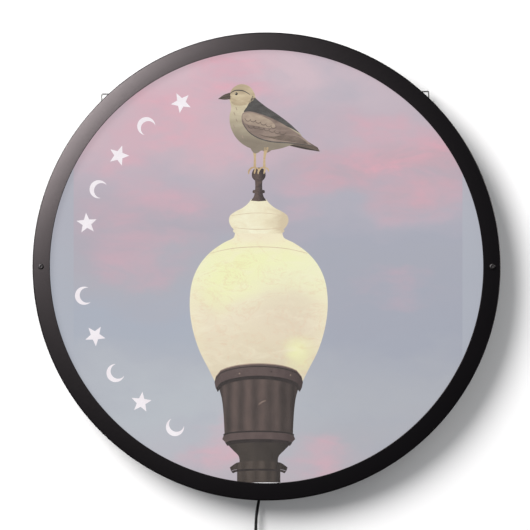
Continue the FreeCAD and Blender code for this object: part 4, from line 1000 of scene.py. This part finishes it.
eye = [(-24.6 + 1.15 * math.cos(2 * math.pi * k / 16), 140.6 + 1.15 * math.sin(2 * math.pi * k / 16)) for k in range(16)]
ink_piece("film_bird_eye", eye, INK_DARK, 7)
glint_ = [(-25.0 + 0.32 * math.cos(2 * math.pi * k / 10), 141.0 + 0.32 * math.sin(2 * math.pi * k / 10)) for k in range(10)]
ink_piece("film_bird_eye_glint", glint_, INK_PALE, 8)
ink_piece("film_bird_mantle", flow([(-11.2, 139.6, 0), (-7.4, 135.6), (-0.6, 130.2), (9.0, 123.8), (19.0, 116.2), (27.0, 108.6, 0), (18.0, 113.4), (8.0, 117.0), (-3.0, 119.6), (-12.0, 121.6), (-18.4, 125.4), (-15.6, 130.6)], steps=6), INK_SLATE, 5)
ink_piece(
    "film_bird_wing",
    flow([(-19.6, 124.6), (-13.6, 126.2), (-4.0, 123.8), (7.0, 119.4), (18.0, 113.2), (28.0, 106.4), (37.6, 98.4, 0), (27.0, 100.2), (15.0, 100.8), (4.0, 101.6), (-6.6, 104.4), (-14.8, 109.6), (-19.8, 116.8)], steps=6),
    INK_WING,
    6,
)
ink_piece("film_bird_wing_shoulder", flow([(-19.2, 123.6), (-12.6, 125.2), (-3.0, 122.2), (5.0, 117.6), (6.6, 113.2), (-1.6, 113.0), (-8.6, 114.4), (-15.2, 115.6), (-19.0, 118.6)], steps=6), INK_COVERT, 7)
# two rows of rounded feathers, then the long ones
for row, (x0, z0, x1, z1, n_, size_) in enumerate(((-15.6, 119.8, 5.4, 114.4, 6, 3.4), (-13.0, 114.2, 12.6, 109.4, 7, 3.9))):
    for k in range(n_):
        t = k / (n_ - 1)
        fx, fz = x0 + (x1 - x0) * t, z0 + (z1 - z0) * t + 0.5 * math.sin(5 * t)
        arc = [(fx - size_ * 0.62, fz + size_ * 0.30), (fx - size_ * 0.30, fz - size_ * 0.28), (fx + size_ * 0.35, fz - size_ * 0.40), (fx + size_ * 0.86, fz + size_ * 0.02)]
        ink_piece("film_bird_feather_%d_%d" % (row, k), stroke(arc, 0.55), INK_QUILL, 8)
for k in range(5):
    t = k / 4
    ink_piece(
        "film_bird_quill_%d" % k,
        stroke([(-6.0 + 7 * t, 106.0 - 1.6 * t + 1.4 * (1 - t)), (8.0 + 5 * t, 103.8 + 2.6 * t), (22.0 + 3 * t, 101.8 + 3.4 * t), (34.0 - 2.0 * t, 99.6 + 1.9 * t)], 0.75 - 0.06 * k),
        INK_QUILL,
        7,
    )
ink_piece("film_bird_wing_edge", stroke([(-19.4, 117.0), (-14.4, 109.6), (-6.2, 104.4), (4.2, 101.6), (20.0, 100.4), (37.2, 98.4)], 0.85), INK_SLATE, 8)
ink_piece("film_bird_thigh", flow([(-13.6, 98.4), (-8.0, 99.4), (-2.4, 97.6), (-6.4, 93.0), (-10.4, 92.4)], steps=5), INK_BODY, 5)
ink_piece("film_bird_thigh_far", flow([(-4.6, 96.8), (0.6, 97.6), (5.0, 96.2), (1.6, 93.0), (-1.4, 93.0)], steps=5), INK_WING, 3)
for k, (x_, z_) in enumerate(((-26.2, 124.4), (-24.4, 119.0), (-26.6, 114.2), (-23.2, 110.2), (-19.6, 105.6), (-24.6, 128.6))):
    ink_piece("film_bird_breast_fleck_%d" % k, stroke([(x_ - 0.5, z_ + 1.3), (x_, z_), (x_ + 0.6, z_ - 1.4)], 0.7), INK_COVERT, 5)

# ---- ornament along the left: plain stars and crescents, no lettering
WHITE_INK = print_material("ink_white", flat_ink(lin(238, 230, 235), lin(246, 241, 245), 80.0), light=0.88, body=0.08)
for n, deg in enumerate((117.5, 130.6, 143.1, 155.3, 166.5, 189.1, 202.0, 215.2, 227.3, 240.3)):
    a = math.radians(deg)
    ux, uz = math.cos(a), math.sin(a)
    r0 = 150.5
    if n % 2 == 0:
        pts = []
        for k in range(10):
            b = math.pi / 5 * k
            rad = 8.6 if k % 2 == 0 else 3.7
            pts.append((rad * math.cos(b), rad * math.sin(b)))
    else:
        pts = []
        for k in range(25):
            b = math.radians(-128 + 256 * k / 24)
            pts.append((7.4 * math.cos(b), 7.4 * math.sin(b)))
        tip = pts[-1]
        inner_r, shift_ = 6.6, -2.62
        half_ = math.atan2(tip[1], tip[0] - shift_)
        for k in range(1, 24):
            b = half_ - 2 * half_ * k / 24
            rad = math.hypot(tip[0] - shift_, tip[1])
            pts.append((shift_ + rad * math.cos(b), rad * math.sin(b)))
    placed = [(r0 * ux + q[0] * ux - q[1] * uz, r0 * uz + q[0] * uz + q[1] * ux) for q in pts]
    ink_piece("film_mark_%02d" % n, placed, WHITE_INK, 1)
print_subjects()

# ---------------------------------------------------------------- hook-and-loop tie
def tie_band():
    """A soft strap round the bundle, its free end lapped over and lifting a little."""
    inner = round_corners([(-19.5, -5.2), (-5.9, -5.2), (-5.9, 5.2), (-19.5, 5.2)], 2.2, 6)
    path = [Vector(q) for q in inner]
    n = len(path)
    # the strap starts on the outer side, goes all the way round and laps over itself
    loop = path + path[: n // 3]
    rows = []
    width = 6.0
    across = 9
    for i, q in enumerate(loop):
        a = loop[max(i - 1, 0)]
        b = loop[min(i + 1, len(loop) - 1)]
        d = (b - a).normalized()
        out = Vector((d.y, -d.x))
        lap = max(0.0, (i - n) / (n / 3)) if i >= n else 0.0
        lift = 0.0 if i < n else 0.42 + 0.12 * lap
        thick = 0.36
        row_in, row_out = [], []
        for k in range(across):
            s_ = k / (across - 1) - 0.5
            half_w = width / 2 * (1.0 if i < n + n // 3 - 3 else 0.86)
            wave = 0.05 * math.sin(9 * s_ + i * 0.7)
            z = 2 * s_ * half_w
            edge = 0.10 * (abs(2 * s_) ** 4)
            pin = q + out * (lift + wave * 0.4)
            pout = q + out * (lift + thick - edge + wave * 0.4)
            row_in.append((pin, z))
            row_out.append((pout, z))
        rows.append((row_in, row_out))
    verts, faces = [], []
    for row_in, row_out in rows:
        for pnt, z in row_in + row_out[::-1]:
            verts.append(((coil_x + pnt.x) * MM, (cy + pnt.y) * MM, (coil_z + z) * MM))
    m = across * 2
    for i in range(len(rows) - 1):
        for k in range(m):
            l = (k + 1) % m
            faces.append((i * m + k, i * m + l, (i + 1) * m + l, (i + 1) * m + k))
    faces.append(tuple(range(m)))
    faces.append(tuple((len(rows) - 1) * m + k for k in range(m - 1, -1, -1)))
    o = mesh_object("tie_strap", verts, faces)
    fix_normals(o)
    o.data.set_sharp_from_angle(angle=math.radians(50))
    return o


tie = tie_band()
give(tie, TIE)
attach(tie, "sign")
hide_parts("coil_tie")

# ---------------------------------------------------------------- stage: wall, floor, light
def plane_object(name, corners):
    o = mesh_object(name, corners, [(0, 1, 2, 3)], smooth=False)
    return o


wall = plane_object("wall", [(-1.0, 0.0006, -0.62), (1.0, 0.0006, -0.62), (1.0, 0.0006, 1.1), (-1.0, 0.0006, 1.1)])
wm, nt, p = new_material("wall_white")
v = coords(nt)
nt.links.new(ramp(nt, noise_of(nt, v, 3.0), [(0.3, (0.92, 0.92, 0.92)), (0.7, (0.94, 0.94, 0.94))]), p.inputs["Base Color"])
p.inputs["Roughness"].default_value = 0.9
p.inputs["Specular IOR Level"].default_value = 0.0
geo = nt.nodes.new("ShaderNodeNewGeometry")
clear = nt.nodes.new("ShaderNodeBsdfTransparent")
mx = nt.nodes.new("ShaderNodeMixShader")
nt.links.new(geo.outputs["Backfacing"], mx.inputs[0])
nt.links.new(p.outputs[0], mx.inputs[1])
nt.links.new(clear.outputs[0], mx.inputs[2])
nt.links.new(mx.outputs[0], nt.nodes["Material Output"].inputs["Surface"])
give(wall, wm)
wall.visible_shadow = False
wall.visible_diffuse = False
wall.visible_glossy = False

floor = plane_object("floor", [(-4, -4, -0.62), (4, -4, -0.62), (4, 4, -0.62), (-4, 4, -0.62)])
fm, nt, p = new_material("floor_pale")
v = coords(nt)
nt.links.new(ramp(nt, noise_of(nt, v, 3.0), [(0.3, (0.80, 0.80, 0.80)), (0.7, (0.84, 0.84, 0.84))]), p.inputs["Base Color"])
p.inputs["Roughness"].default_value = 0.9
p.inputs["Specular IOR Level"].default_value = 0.1
give(floor, fm)
floor.visible_glossy = False
floor.visible_diffuse = False


def area(name, location, target, radius, radiance, color=(1, 1, 1)):
    data = bpy.data.lights.new(name, "AREA")
    data.shape = "DISK"
    data.size = 2 * radius
    data.energy = radiance * math.pi * math.pi * radius * radius
    data.color = color
    o = bpy.data.objects.new(name, data)
    collection.objects.link(o)
    o.location = location
    d = Vector(target) - Vector(location)
    o.rotation_euler = d.to_track_quat("-Z", "Y").to_euler()
    return o


az, tilt, far = math.radians(139.5), math.radians(43.5), 2.6
key_dir = Vector((math.sin(tilt) * math.cos(az), -math.cos(tilt), math.sin(tilt) * math.sin(az)))
area("key", key_dir * far, (0, 0, 0), 0.80, 14.6, (1.0, 0.985, 0.98))
# a weak low light from the upper right, which lifts the wall shadow's right side only
az, tilt = math.radians(46.0), math.radians(68.0)
fill_dir = Vector((math.sin(tilt) * math.cos(az), -math.cos(tilt), math.sin(tilt) * math.sin(az)))
fill = area("fill", fill_dir * far, (0, 0, 0), 0.80, 2.6)
fill.visible_glossy = False
fill.visible_camera = False
area("back_left", (-2.9, 2.0, 1.7), (0, 0, -0.05), 1.0, 5.5)
area("back_right", (3.1, 0.95, 0.7), (0, 0, -0.05), 1.0, 5.0)

world = bpy.data.worlds.new("studio")
scene.world = world
world.use_nodes = True
nt = world.node_tree
nt.nodes.clear()
out = nt.nodes.new("ShaderNodeOutputWorld")
path = nt.nodes.new("ShaderNodeLightPath")
soft = nt.nodes.new("ShaderNodeBackground")
soft.inputs["Color"].default_value = (0.97, 0.98, 1.0, 1.0)
soft.inputs["Strength"].default_value = 0.335
dark = nt.nodes.new("ShaderNodeBackground")
dark.inputs["Color"].default_value = (0.9, 0.92, 1.0, 1.0)
dark.inputs["Strength"].default_value = 0.02
seen = nt.nodes.new("ShaderNodeBackground")
seen.inputs["Color"].default_value = (0.93, 0.93, 0.935, 1.0)
seen.inputs["Strength"].default_value = 1.0
m1 = nt.nodes.new("ShaderNodeMixShader")
m2 = nt.nodes.new("ShaderNodeMixShader")
nt.links.new(path.outputs["Is Glossy Ray"], m1.inputs[0])
nt.links.new(soft.outputs[0], m1.inputs[1])
nt.links.new(dark.outputs[0], m1.inputs[2])
nt.links.new(path.outputs["Is Camera Ray"], m2.inputs[0])
nt.links.new(m1.outputs[0], m2.inputs[1])
nt.links.new(seen.outputs[0], m2.inputs[2])
nt.links.new(m2.outputs[0], out.inputs["Surface"])

scene.view_settings.view_transform = "Standard"
scene.view_settings.look = "None"
scene.view_settings.exposure = 0.0
scene.view_settings.gamma = 1.0
